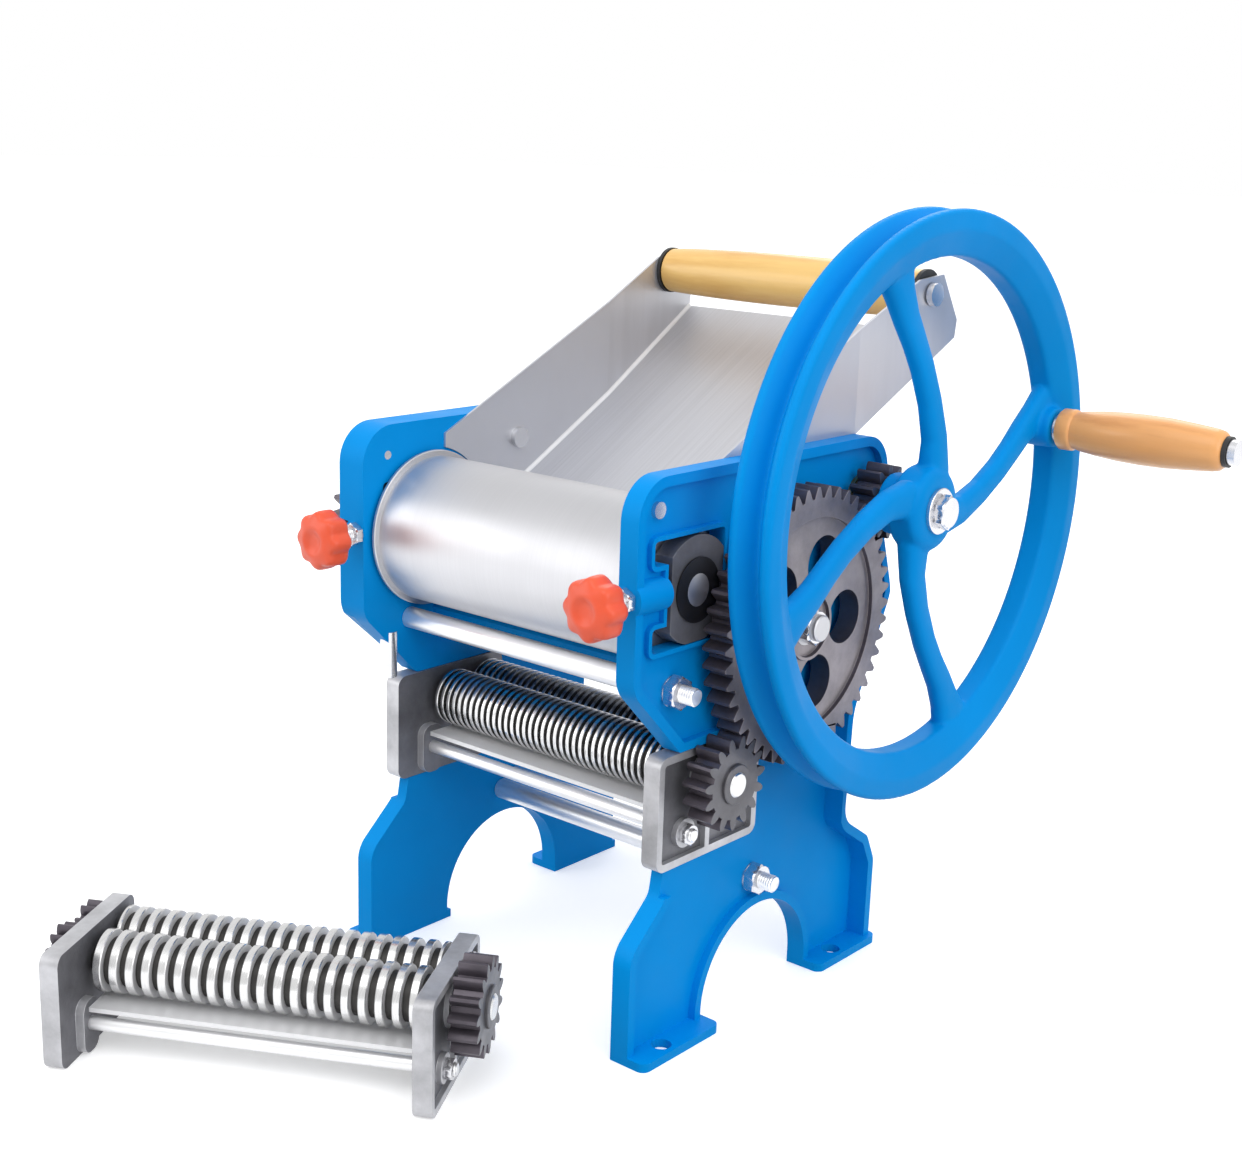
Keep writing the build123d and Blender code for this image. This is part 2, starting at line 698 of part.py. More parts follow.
def grip():
    """The turned wooden handle that spins on the spindle."""
    a = grip_start
    bore = spindle_r + 0.15
    profile = [
        (a, bore), (a, grip_neck_r), (a + 7, grip_neck_r), (a + 9, grip_neck_r - 0.8),
        (a + 22, grip_r - 0.8), (a + 42, grip_r), (a + 62, grip_r - 0.8),
        (a + grip_length - 3, grip_neck_r), (a + grip_length, grip_neck_r - 2),
        (a + grip_length, bore)]
    return turned(profile, handle_axis)


def grip_washer():
    """The black washer at the grip's outer end."""
    ring = Circle(spindle_r + 3.2) - Circle(spindle_r + 0.15)
    face = grip_start + grip_length
    return prism(Pos(*handle_axis) * ring, face, face + 2.1)


# ---- cutter blocks --------------------------------------------------------------------------------
front_cutter = (cutter_axis[0] - block_front, cutter_axis[1] - block_bottom)
rear_cutter = (front_cutter[0] + cutter_gap, front_cutter[1])
block_rod = (block_rod_inset, block_rod_height)


def block_end():
    """The right hand end plate of a block."""
    face = block_half
    back = face - end_plate
    flat = face - end_plate_rim
    outline = rectangle(0, block_depth, 0, block_height, 5)
    end = prism(outline, back, face)
    pocket = offset(outline, amount=-3.5, kind=Kind.ARC)
    for axis, radius in ((front_cutter, 10.5), (rear_cutter, 10.5), (block_rod, 6.5)):
        pocket -= Pos(*axis) * Circle(radius)
    pocket -= rectangle(block_rod[0] + 14, block_rod[0] + 17, 0, block_height)
    end -= prism(pocket, flat, face)
    tongue = rectangle(block_rod[0] - tongue_r, block_rod[0] + tongue_r, 1, tongue_top, 5.5)
    end += prism(tongue, back - tongue_thick, back)
    for axis in (front_cutter, rear_cutter):
        end -= round_bar(cutter_journal_r + running, back - 1, face, axis)
    return end - round_bar(block_rod_r, back - tongue_thick, face, block_rod)


def block_rods():
    """The front tie rod and the plain rod behind it."""
    tip = block_half + 5
    front = round_bar(block_rod_r, -tip, tip, block_rod)
    behind = round_bar(block_rod_r, end_plate - block_half, block_half - end_plate,
                       (block_depth - 12, block_rod_height - 6))
    return as_one([front, behind])


def block_nuts():
    """The nuts on the front rod."""
    nut = hexagon(block_rod_r + 2.0, block_half, block_half + 3.5, block_rod)
    nut -= round_bar(block_rod_r, block_half, block_half + 3.5, block_rod)
    return both_sides(nut)


def scraper(half, y0, y1):
    """A plain strip under a cutting roller."""
    top = front_cutter[1] - cutter_r - 0.8
    return box(-half, half, y0, y1, top - comb_thick, top)


def cutter_roller(discs, axis, drive):
    """A cutting roller in one turning; its ridges run in the other roller's grooves."""
    half = cutter_length / 2
    radii = (cutter_root_r, cutter_r) if drive else (cutter_r, cutter_root_r)
    left_end = sync_out + 2
    right_end = gear_front + 2 if drive else block_half + 1
    profile = [(-left_end, 0), (-left_end, cutter_journal_r), (-half, cutter_journal_r)]
    for step in range(2 * discs + 1):
        profile.append((step * half / discs - half, radii[step % 2]))
    profile += [(half, cutter_journal_r), (right_end, cutter_journal_r), (right_end, 0)]
    return turned(profile, axis)


def block_pieces(prefix, discs):
    """All pieces of a cutter block, standing with its front edge on the X axis."""
    end = block_end()
    inside = block_half - end_plate
    half_tooth = 180.0 / sync_teeth
    drive = gear(cutter_teeth, module, cutter_phase, front_cutter, gear_back, gear_front,
                 cutter_journal_r)
    syncs = []
    for axis, phase in ((front_cutter, 0.0), (rear_cutter, half_tooth)):
        syncs.append(gear(sync_teeth, sync_module, phase, axis, -sync_out, -sync_in,
                          cutter_journal_r))
    return {
        prefix + "_right_end_plate": end,
        prefix + "_left_end_plate": mirrored(end),
        prefix + "_tie_rods": block_rods(),
        prefix + "_block_nuts": block_nuts(),
        prefix + "_front_scraper": scraper(inside - tongue_thick, block_rod[0] - 2, front_cutter[0] + 2),
        prefix + "_rear_scraper": scraper(inside, rear_cutter[0] - 2, rear_cutter[0] + 9),
        prefix + "_front_cutter": cutter_roller(discs, front_cutter, True),
        prefix + "_rear_cutter": cutter_roller(discs, rear_cutter, False),
        prefix + "_drive_gear": drive,
        prefix + "_front_sync_gear": syncs[0],
        prefix + "_rear_sync_gear": syncs[1],
    }


# ---- sizes used above that follow from others ------------------------------------------------------
bush_r = journal_r + 4.0
guide_rod_end = inner + web / 2
shaft_bush_r = drive_shaft_r + 3.0
shaft_collar_r = shaft_bush_r - 0.5
sync_back = back_rim_face + 1.0
sync_front = sync_back + 10.0
sync_in = block_half + 1.0
sync_out = sync_in + sync_face
cutter_root_r = cutter_gap - cutter_r - slip
front_end_r = 7.0
gear_hub_r = 15.6
gear_nut_r = shaft_end_r + 2.4
big_hole_start = -2.6
wheel_mid = wheel_front - wheel_width / 2
wheel_bolt_r = 4.0
grip_start = wheel_front + 2.5
plate_screw_r = 2.0
plate_screw = (-74.0, 240.5)
hopper_screw_r = 2.5
hopper_screw = (hopper_screw_y, hopper_screw_z)
nip_guard = (-11.0, 203.5)
bar_ring_r = bar_end_r + 0.6
bar_half = wall_x(bar_y - bar_ring_r) - sheet - bar_ring
bar_bore = 12.0
bar_bolt_r = 3.0
knob_screw_tip = front_axis[0] - journal_r - gap_travel - 1.0
clamp_screw_x = inner + web / 2
clamp_screw_y = block_front - 3.0
clamp_screw_r = 4.0
clamp_screw_foot = block_bottom + block_height + 1.0
clamp_screw_length = 22.0

parts = {
    "right_side_plate": side_plate(True),
    "left_side_plate": left_plate(),
    "cross_plate": cross_plate(),
    "upper_tie_rod": tie_rod(upper_rod),
    "lower_tie_rod": tie_rod(lower_rod),
    "lower_guide_rod": round_bar(guide_rod_r, -guide_rod_end, guide_rod_end, guide_rod),
    "tie_rod_nuts": nuts(),
    "rear_roller_bushes": both_sides(bush(bush_r, journal_r + running, rear_axis, outer + 1.5)),
    "drive_shaft_bushes": both_sides(bush(shaft_bush_r, drive_shaft_r + running, wheel_axis, outer + 2)),
    "block_clamp_screw": clamp_screw(clamp_screw_r),
    "plate_screws": plate_fasteners(),
    "hopper_chute": hopper(),
    "hopper_bar": hopper_bar(),
    "hopper_bar_rings": both_sides(bar_ring_piece()),
    "hopper_screws": hopper_fasteners(),
    "rear_roller": rear_roller(),
    "big_gear": big_gear(),
    "big_gear_nut": hexagon(gear_nut_r, gear_front - gear_dish, gear_front + 3.5, rear_axis)
    - round_bar(shaft_end_r, gear_front - gear_dish, gear_front + 3.5, rear_axis),
    "rear_sync_gear": roller_gear(rear_axis, 0.0),
    "front_roller": front_roller(),
    "front_sync_gear": roller_gear(front_axis, roller_phase),
    "front_shaft_washer": round_bar(journal_r + 3, housing_face + 0.2, housing_face + 0.8, front_axis)
    - round_bar(front_end_r, housing_face + 0.2, housing_face + 0.8, front_axis),
    "right_bearing_block": bearing_block(),
    "left_bearing_block": mirrored(bearing_block()),
    "right_knob": knob(),
    "left_knob": mirrored(knob()),
    "right_knob_screw": knob_screw(),
    "left_knob_screw": mirrored(knob_screw()),
    "hand_wheel": hand_wheel(),
    "drive_shaft": drive_shaft(),
    "pinion": gear(pinion_teeth, module, pinion_phase, wheel_axis, gear_back, gear_front, drive_shaft_r),
    "wheel_bolt": wheel_bolt(),
    "handle_spindle": spindle(),
    "handle_grip": grip(),
    "handle_washer": grip_washer(),
}
for name, shape in block_pieces("fine", fine_discs).items():
    parts[name] = Pos(0, block_front, block_bottom) * shape
for name, shape in block_pieces("wide", wide_discs).items():
    parts[name] = Pos(*spare_place, 0) * Rot(0, 0, spare_turn) * shape


if __name__ == "__main__":
    os.makedirs("parts", exist_ok=True)
    for name, shape in parts.items():
        export_step(shape, "parts/" + name + ".step")
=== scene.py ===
"""Looks of the hand cranked noodle press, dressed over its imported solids.

Sizes are in millimetres unless a name says otherwise; MM turns them into metres. +X points to the
hand wheel, +Y to the back, +Z up, and the table is at Z 0.
"""

import json
import math

import bmesh
import bpy
from mathutils import Matrix, Vector

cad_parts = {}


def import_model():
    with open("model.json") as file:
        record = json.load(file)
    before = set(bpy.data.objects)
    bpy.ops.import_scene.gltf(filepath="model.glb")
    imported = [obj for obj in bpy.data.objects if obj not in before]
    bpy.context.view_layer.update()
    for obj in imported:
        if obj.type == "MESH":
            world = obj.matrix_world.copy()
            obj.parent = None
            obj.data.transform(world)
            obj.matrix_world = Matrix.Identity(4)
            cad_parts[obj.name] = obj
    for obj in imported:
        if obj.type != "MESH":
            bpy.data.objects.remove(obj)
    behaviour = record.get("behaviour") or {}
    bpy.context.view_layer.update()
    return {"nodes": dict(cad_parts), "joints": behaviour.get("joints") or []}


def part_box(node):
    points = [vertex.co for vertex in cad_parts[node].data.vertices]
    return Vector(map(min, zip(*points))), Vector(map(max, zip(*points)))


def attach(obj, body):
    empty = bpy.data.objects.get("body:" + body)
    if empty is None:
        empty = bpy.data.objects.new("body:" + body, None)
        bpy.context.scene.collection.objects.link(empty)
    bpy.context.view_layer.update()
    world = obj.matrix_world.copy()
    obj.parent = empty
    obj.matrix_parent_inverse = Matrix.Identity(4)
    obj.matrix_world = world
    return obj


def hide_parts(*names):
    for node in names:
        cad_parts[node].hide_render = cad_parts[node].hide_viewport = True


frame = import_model()

MM = 0.001

# ---- camera, at the photograph's angle ------------------------------------------------------
CAMERA_PLACE = (0.52040, -0.61545, 0.38675)    # metres
CAMERA_YAW = 40.093                            # degrees
CAMERA_DOWN = 14.289
CAMERA_ROLL = 1.828
CAMERA_LENS = 51.73
SENSOR = 36.0

# ---- floor and room -------------------------------------------------------------------------
FLOOR_LIT = 0.50                 # the floor's gray for the light
FLOOR_SEEN = 0.90                # and for the camera
FLOOR_LIFT = 0.36                # glow that only the camera sees
WALL_LIGHT = 0.42
CEILING_LIGHT = 1.10

# ---- sizes shared with the solids -----------------------------------------------------------
ROLLER_R = 34.2
ROLLER_HALF = 72.0
COLLAR_R = 36.6
COLLAR_THICK = 2.2
SLIP = 0.3                       # play beside a roller's end
JOURNAL_R = 11.0
SEAT_R = 9.0                     # a roller's shaft inside its gear
STUD_R = 6.0                     # the threaded end beyond the gear
BIG_GEAR_BACK = 86.0
BIG_GEAR_FRONT = 96.5
GEAR_STUD_TIP = 104.5
FRONT_JOURNAL_END = 84.7
FRONT_SHAFT_END = 85.5
FRONT_STUD_R = 7.0
SYNC_BACK = 93.0                 # the equal gears on the left, measured to the left
SYNC_FRONT = 103.0
SYNC_STUD_TIP = 109.0

CUTTER_R = 13.5
CUTTER_ROOT_R = 10.2
CUTTER_HALF = 73.0
CUTTER_JOURNAL_R = 5.5
CUTTER_LEFT_END = 95.0
DRIVEN_CUTTER_END = 100.5
PLAIN_CUTTER_END = 85.0
FINE_DISCS = 38
WIDE_DISCS = 20
DRIVE_GEAR_FACE = 98.5

# on an end plate, from its front edge and from its lower edge
CUTTER_PLACE = (33.57, 36.15)
FRONT_ROD_PLACE = (19.0, 14.0)
REAR_ROD_PLACE = (58.0, 8.0)
BLOCK_ROD_R = 3.0
BLOCK_ROD_HALF = 75.5
BLOCK_ROD_TIP = 89.0
BLOCK_NUT_BACK = 84.0
BLOCK_NUT_FRONT = 87.5
BLOCK_NUT_R = 5.0

WHEEL_R = 132.7
WHEEL_INNER_R = 112.0
WHEEL_WIDTH = 20.7
WHEEL_LIP = 11.6                 # width of the rim's inner edge
WHEEL_MID = 115.95
GROOVE_WIDTH = 13.0
GROOVE_DEPTH = 9.0
SPOKES = 4
HUB_R = 19.0
HUB_BOSS_R = 14.0
HUB_BACK = -16.85                # along X from the wheel's middle
HUB_FACE = 7.8
DRIVE_SHAFT_R = 8.0
WHEEL_BOLT_R = 4.0

PLATE_OUTER = 82.0
PLATE_INNER = 76.0
RIM_FACE = 85.5
ROD_R = 4.0
ROD_TIP = 96.0
NUT_R = 7.5
NUT_THICK = 6.5

TRAY_FOOT = -2.0
TRAY_FOOT_Z = 211.5
TRAY_BACK = 149.0
TRAY_RISE = 29.2                 # degrees
FLARE_FROM = 76.0
FLARE = 5.0                      # degrees
WALL_INSIDE = 74.8

# ---- sizes of the details that only the scene has -------------------------------------------
WELD = 1e-6                      # metres: points nearer than this are one
SHAFT_EASE = 0.6                 # chamfer on the end of a shaft
ROD_EASE = 0.4
DEEP_RIM_FACE = 92.0             # the left casting's rim, above the jaw
JAW_HEIGHT = 165.0
BEND_R = 1.7                     # inner bend between the tray and a wall
BEND_STEPS = 6
SPOKE_FULLNESS = 0.75            # 1 is an oval section, less is squarer
GEAR_BOSS_R = 9.0
GEAR_BOSS_RISE = 1.4
GEAR_NUT_R = 8.4
GEAR_NUT_FRONT = 102.0
WASHER_R = 6.6
WASHER_THICK = 0.7
WHEEL_BOLT_HEAD_R = 8.0
WHEEL_BOLT_HEAD = 4.6
WHEEL_WASHER_R = 10.5
WHEEL_WASHER_THICK = 1.8
KNOB_SCREW_R = 3.0
KNOB_NUT_R = 5.5
KNOB_NUT_BACK = -89.2            # along Y, just off the casting
KNOB_NUT_FRONT = -93.0
KNOB_LOBES = 8
BAR_END_R = 10.2
BAR_SIDE_R = 11.0
BAR_BELLY = 1.8


# ---- places, read from the frame ------------------------------------------------------------
def centre(node):
    """Middle of a solid's box, in millimetres."""
    low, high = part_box(node)
    return (low + high) / 2 / MM


def joint_place(name):
    """A hinge's own frame in millimetres: its axis becomes the local X axis."""
    joint = next(j for j in frame["joints"] if j["name"] == name)
    turn = Vector((1, 0, 0)).rotation_difference(Vector(joint["axis"])).to_matrix().to_4x4()
    return Matrix.Translation(Vector(joint["pos_m"]) / MM) @ turn


def along_x(node):
    """The line through a solid's middle, parallel to X, with its zero on the press's middle."""
    middle = centre(node)
    return Matrix.Translation((0, middle.y, middle.z))


def polar(radius, degrees):
    """Two coordinates of a point that is given by its distance and direction."""
    angle = math.radians(degrees)
    return (radius * math.cos(angle), radius * math.sin(angle))


def span(side, near, far):
    """The ends of a run on one side of the middle, in order along X."""
    return sorted((side * near, side * far))


def mirrored(profile):
    """A profile's other half, on the far side of the middle, in order along X."""
    return [(-x, radius) for x, radius in reversed(profile)]


# ---- mesh building --------------------------------------------------------------------------
class Shape:
    """Vertices and faces, each face with a material number, gathered into one mesh."""

    def __init__(self):
        self.verts = []
        self.faces = []
        self.slots = []

    def loft(self, stations, radius, segments=64, slot=lambda ring: 0, place=None, closed=False):
        """Rings along X: radius(ring, angle) gives each point's distance from the axis."""
        place = place or Matrix.Identity(4)
        start = len(self.verts)
        for ring, x in enumerate(stations):
            for step in range(segments):
                angle = 2 * math.pi * step / segments
                r = radius(ring, angle)
                self.verts.append(place @ Vector((x, r * math.cos(angle), r * math.sin(angle))))
        bands = len(stations) if closed else len(stations) - 1
        for ring in range(bands):
            a = start + ring * segments
            b = start + (ring + 1) % len(stations) * segments
            for step in range(segments):
                after = (step + 1) % segments
                self.faces.append((a + step, b + step, b + after, a + after))
                self.slots.append(slot(ring))
        if not closed:
            last = start + (len(stations) - 1) * segments
            self.faces.append(tuple(start + step for step in range(segments)))
            self.faces.append(tuple(last + step for step in reversed(range(segments))))
            self.slots += [slot(0), slot(bands - 1)]
        return self

    def turned(self, profile, segments=96, place=None, closed=False, slot=lambda ring: 0):
        """A turned piece from (x, radius) entries."""
        stations = [x for x, _ in profile]
        return self.loft(stations, lambda ring, angle: max(profile[ring][1], 0.01), segments, slot,
                         place, closed)

    def thread(self, radius, x0, x1, pitch=1.25, depth=0.55, place=None, segments=32):
        """A screw thread with chamfered ends."""
        rings_to_a_turn = 5
        rings = int((x1 - x0) / pitch * rings_to_a_turn)
        stations = [x0 + (x1 - x0) * ring / rings for ring in range(rings + 1)]

        def height(ring, angle):
            phase = (stations[ring] / pitch - angle / (2 * math.pi)) % 1.0
            edge = min(stations[ring] - x0, x1 - stations[ring])
            taper = max(0.0, 1.0 - edge / (pitch * 0.6)) * depth
            return radius - depth * abs(2 * phase - 1) - taper

        return self.loft(stations, height, segments, place=place)

    def nut(self, radius, x0, x1, bore=0.0, place=None, segments=48):
        """A hexagon with chamfered corners, bored if bore is given."""
        flat = radius * math.cos(math.pi / 6)
        chamfer = radius - flat

        def hexagon(limit):
            def at(angle):
                local = (angle + math.pi / 6) % (math.pi / 3) - math.pi / 6
                return min(limit, flat / math.cos(local))
            return at

        outline = [(x0, flat * 0.98), (x0 + chamfer * 0.55, radius), (x1 - chamfer * 0.55, radius),
                   (x1, flat * 0.98)]
        stations = [x for x, _ in outline]
        limits = [hexagon(limit) for _, limit in outline]
        if bore:
            stations += [x1, x0]
            limits += [lambda angle: bore] * 2
        return self.loft(stations, lambda ring, angle: limits[ring](angle), segments, place=place,
                         closed=bool(bore))

    def build(self, name, body, materials, slot_name=None, replaces=(), sharp=32.0):
        """The finished piece, riding on its body."""
        mesh = bpy.data.meshes.new(name)
        mesh.from_pydata([tuple(v * MM) for v in self.verts], [], self.faces)
        for number, face in enumerate(mesh.polygons):
            face.material_index = self.slots[number]
        return finish_mesh(mesh, name, body, materials, replaces, sharp)


def linked(name, data):
    """A new object in the scene, with this mesh, lamp or camera in it."""
    thing = bpy.data.objects.new(name, data)
    bpy.context.scene.collection.objects.link(thing)
    return thing


def smooth_but_for(work, sharp):
    """Shades a mesh smooth, except over open edges and edges sharper than this, in degrees."""
    limit = math.radians(sharp)
    for edge in work.edges:
        edge.smooth = len(edge.link_faces) == 2 and edge.calc_face_angle(0.0) < limit
    for face in work.faces:
        face.smooth = True


def finish_mesh(mesh, name, body, materials, replaces, sharp):
    """Cleans a mesh, marks its sharp edges, and hangs it on its body."""
    work = bmesh.new()
    work.from_mesh(mesh)
    bmesh.ops.remove_doubles(work, verts=work.verts, dist=WELD)
    bmesh.ops.recalc_face_normals(work, faces=work.faces)
    smooth_but_for(work, sharp)
    work.to_mesh(mesh)
    work.free()
    for item in materials:
        mesh.materials.append(item)
    piece = linked(name, mesh)
    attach(piece, body)
    if replaces:
        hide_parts(*replaces)
    return piece


def eased(node, body, item, width, segments=2):
    """A solid's own shape with its hard edges eased, as a casting or a machined piece has them."""
    mesh = frame["nodes"][node].data.copy()
    mesh.name = node + "_eased"
    work = bmesh.new()
    work.from_mesh(mesh)
    bmesh.ops.remove_doubles(work, verts=work.verts, dist=2 * WELD)
    bmesh.ops.dissolve_limit(
        work, angle_limit=math.radians(1.0), verts=work.verts, edges=work.edges)
    smooth_but_for(work, 30)
    work.to_mesh(mesh)
    work.free()
    mesh.materials.clear()
    mesh.materials.append(item)
    piece = linked(node + "_eased", mesh)
    bevel = piece.modifiers.new("edges", "BEVEL")
    bevel.width = width * MM
    bevel.segments = segments
    bevel.limit_method = "ANGLE"
    bevel.angle_limit = math.radians(35)
    bevel.harden_normals = True
    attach(piece, body)
    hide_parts(node)
    return piece


# ---- materials ------------------------------------------------------------------------------
class Nodes:
    """A principled material with a few helpers for what feeds it."""

    def __init__(self, name, colour, roughness, metallic=0.0, coat=0.0, specular=0.5):
        self.material = bpy.data.materials.new(name)
        self.material.use_nodes = True
        self.tree = self.material.node_tree
        self.shader = self.tree.nodes["Principled BSDF"]
        self.shader.inputs["Base Color"].default_value = (*colour, 1)
        self.shader.inputs["Roughness"].default_value = roughness
        self.shader.inputs["Metallic"].default_value = metallic
        self.shader.inputs["Coat Weight"].default_value = coat
        self.shader.inputs["Coat Roughness"].default_value = 0.12
        self.shader.inputs["Specular IOR Level"].default_value = specular
        self.place = self.tree.nodes.new("ShaderNodeTexCoord")

    def noise(self, scale, detail=3.0, stretch=(1, 1, 1), roughness=0.5):
        """Noise in the object's own space; stretch multiplies its frequency along X, Y and Z."""
        mapping = self.tree.nodes.new("ShaderNodeMapping")
        mapping.inputs["Scale"].default_value = stretch
        texture = self.tree.nodes.new("ShaderNodeTexNoise")
        texture.inputs["Scale"].default_value = scale
        texture.inputs["Detail"].default_value = detail
        texture.inputs["Roughness"].default_value = roughness
        self.tree.links.new(self.place.outputs["Object"], mapping.inputs["Vector"])
        self.tree.links.new(mapping.outputs["Vector"], texture.inputs["Vector"])
        return texture.outputs["Fac"]

    def ramp(self, source, stops):
        """A colour ramp: stops are (position, colour)."""
        ramp = self.tree.nodes.new("ShaderNodeValToRGB")
        while len(ramp.color_ramp.elements) < len(stops):
            ramp.color_ramp.elements.new(0.5)
        for element, (position, colour) in zip(ramp.color_ramp.elements, stops):
            element.position = position
            element.color = (*colour, 1)
        self.tree.links.new(source, ramp.inputs["Fac"])
        return ramp.outputs["Color"]

    def spread(self, source, low, high):
        """Feeds the roughness from noise, between two values."""
        scale = self.tree.nodes.new("ShaderNodeMapRange")
        scale.inputs["From Min"].default_value = 0.3
        scale.inputs["From Max"].default_value = 0.7
        scale.inputs["To Min"].default_value = low
        scale.inputs["To Max"].default_value = high
        self.tree.links.new(source, scale.inputs["Value"])
        self.tree.links.new(scale.outputs["Result"], self.shader.inputs["Roughness"])

    def colour(self, source):
        """Feeds the base colour."""
        self.tree.links.new(source, self.shader.inputs["Base Color"])

    def bump(self, source, strength, distance):
        """Bump from a height, distance in millimetres; several are chained."""
        bump = self.tree.nodes.new("ShaderNodeBump")
        bump.inputs["Strength"].default_value = strength
        bump.inputs["Distance"].default_value = distance * MM
        self.tree.links.new(source, bump.inputs["Height"])
        used = self.shader.inputs["Normal"]
        if used.is_linked:
            self.tree.links.new(used.links[0].from_socket, bump.inputs["Normal"])
        self.tree.links.new(bump.outputs["Normal"], used)


def shade(colour, factor):
    """A colour made lighter or darker."""
    return tuple(channel * factor for channel in colour)


def blue_enamel():
    """Sprayed enamel over a casting: even colour, faint orange peel, a soft gloss."""
    blue = (0.0, 0.270, 0.710)
    paint = Nodes("blue_enamel", blue, 0.42, specular=0.06)
    cloud = paint.noise(9, 4)
    paint.colour(paint.ramp(cloud, [(0.35, shade(blue, 0.94)), (0.65, shade(blue, 1.07))]))
    paint.spread(paint.noise(40, 3), 0.36, 0.50)
    paint.bump(paint.noise(420, 2), 0.12, 0.2)
    paint.bump(paint.noise(60, 3), 0.10, 0.5)
    return paint.material


def turned_steel(name, colour, roughness, fine=2600.0, contrast=0.10):
    """Metal turned on a lathe: fine rings round the X axis."""
    steel = Nodes(name, colour, roughness, metallic=1.0)
    rings = steel.noise(1.0, 3, (fine, 3, 3))
    dull, bright = shade(colour, 1 - contrast), shade(colour, 1 + contrast / 2)
    steel.colour(steel.ramp(rings, [(0.3, dull), (0.7, bright)]))
    steel.spread(steel.noise(30, 3), roughness - 0.05, roughness + 0.07)
    steel.bump(rings, 0.10, 0.05)
    return steel.material


def sheet_steel():
    """Cold rolled sheet with a faint grain along the fall of the tray."""
    grey = (0.61, 0.615, 0.65)
    sheet = Nodes("sheet_steel", grey, 0.42, metallic=0.75)
    grain = sheet.noise(1.0, 4, (900, 14, 14))
    sheet.colour(sheet.ramp(grain, [(0.25, shade(grey, 0.93)), (0.75, shade(grey, 1.05))]))
    sheet.spread(sheet.noise(14, 4), 0.36, 0.50)
    sheet.bump(grain, 0.08, 0.05)
    return sheet.material


def cast_iron(name, colour, roughness, metallic, grain=0.25):
    """Sand cast iron with its grain."""
    iron = Nodes(name, colour, roughness, metallic=metallic)
    cloud = iron.noise(38, 6, roughness=0.65)
    iron.colour(iron.ramp(cloud, [(0.3, shade(colour, 0.72)), (0.7, shade(colour, 1.30))]))
    iron.spread(iron.noise(90, 4), roughness - 0.08, roughness + 0.1)
    iron.bump(iron.noise(900, 4), grain, 0.3)
    iron.bump(iron.noise(150, 4), grain, 0.5)
    return iron.material


def wood(name, pale, dark, rings=34.0):
    """Turned and varnished wood, its grain along X."""
    timber = Nodes(name, pale, 0.38, coat=0.35)
    grain = timber.noise(rings, 6, (0.13, 1, 1), roughness=0.62)
    timber.colour(timber.ramp(grain, [(0.34, dark), (0.50, pale), (0.70, shade(pale, 1.12))]))
    pores = timber.noise(520, 3, (0.04, 1, 1))
    timber.spread(pores, 0.32, 0.46)
    timber.bump(pores, 0.12, 0.15)
    return timber.material


def plastic(name, colour, roughness, coat=0.0):
    """Moulded plastic with a faint mottle."""
    resin = Nodes(name, colour, roughness, coat=coat)
    cloud = resin.noise(60, 3)
    resin.colour(resin.ramp(cloud, [(0.3, shade(colour, 0.92)), (0.7, shade(colour, 1.05))]))
    resin.spread(resin.noise(180, 3), roughness - 0.04, roughness + 0.06)
    resin.bump(resin.noise(700, 2), 0.08, 0.1)
    return resin.material


def plated_steel(name, colour, roughness, metallic=0.92):
    """Plated or blackened metal with a faint, even mottle."""
    zinc = Nodes(name, colour, roughness, metallic=metallic)
    cloud = zinc.noise(90, 3)
    zinc.colour(zinc.ramp(cloud, [(0.3, shade(colour, 0.97)), (0.7, shade(colour, 1.02))]))
    zinc.spread(zinc.noise(160, 3), roughness - 0.01, roughness + 0.02)
    zinc.bump(zinc.noise(1400, 2), 0.02, 0.03)
    return zinc.material


BLUE = blue_enamel()
ROLLER = turned_steel("ground_roller", (0.58, 0.58, 0.60), 0.46, contrast=0.03)
CUTTER = turned_steel("cutter_ridges", (0.72, 0.72, 0.72), 0.24, fine=5200.0)
FLANK = plated_steel("cutter_flanks", (0.74, 0.74, 0.75), 0.48, 0.45)
# Nearly black: painted shade in the cutters' grooves.
GROOVE_SHADE = turned_steel("cutter_grooves", (0.06, 0.058, 0.056), 0.45, fine=5200.0)
SHEET = sheet_steel()
GEAR = cast_iron("small_gear_iron", (0.125, 0.123, 0.134), 0.38, 0.60, 0.15)
TEETH = cast_iron("oiled_teeth", (0.10, 0.088, 0.105), 0.38, 0.60, 0.15)
BIG_GEAR = cast_iron("big_gear_iron", (0.29, 0.265, 0.28), 0.46, 0.60, 0.22)
BLOCK = cast_iron("gray_casting", (0.155, 0.155, 0.170), 0.50, 0.55)
# A paler copy of the gray casting: painted highlight on the end plates' rims, edges and sides.
HIGHLIT_CASTING = cast_iron("dressed_casting", (0.49, 0.49, 0.51), 0.40, 0.60, 0.12)
# Also on the chute's bends, as a painted highlight.
STRIP = plated_steel("scraper_strip", (0.84, 0.84, 0.85), 0.42, 0.35)
ROD = plated_steel("bright_rod", (0.88, 0.88, 0.89), 0.36, 0.80)
ZINC = plated_steel("zinc", (0.70, 0.70, 0.72), 0.24)
DARK = plated_steel("blackened_steel", (0.05, 0.05, 0.055), 0.40)
BRONZE = plated_steel("bearing_bronze", (0.42, 0.30, 0.14), 0.38)
BAR_WOOD = wood("bar_wood", (0.86, 0.54, 0.17), (0.70, 0.37, 0.08))
GRIP_WOOD = wood("grip_wood", (0.82, 0.38, 0.12), (0.62, 0.24, 0.06), 46.0)
ORANGE = plastic("orange_plastic", (0.82, 0.088, 0.026), 0.38, 0.1)
BLACK = plastic("black_plastic", (0.018, 0.018, 0.018), 0.5)

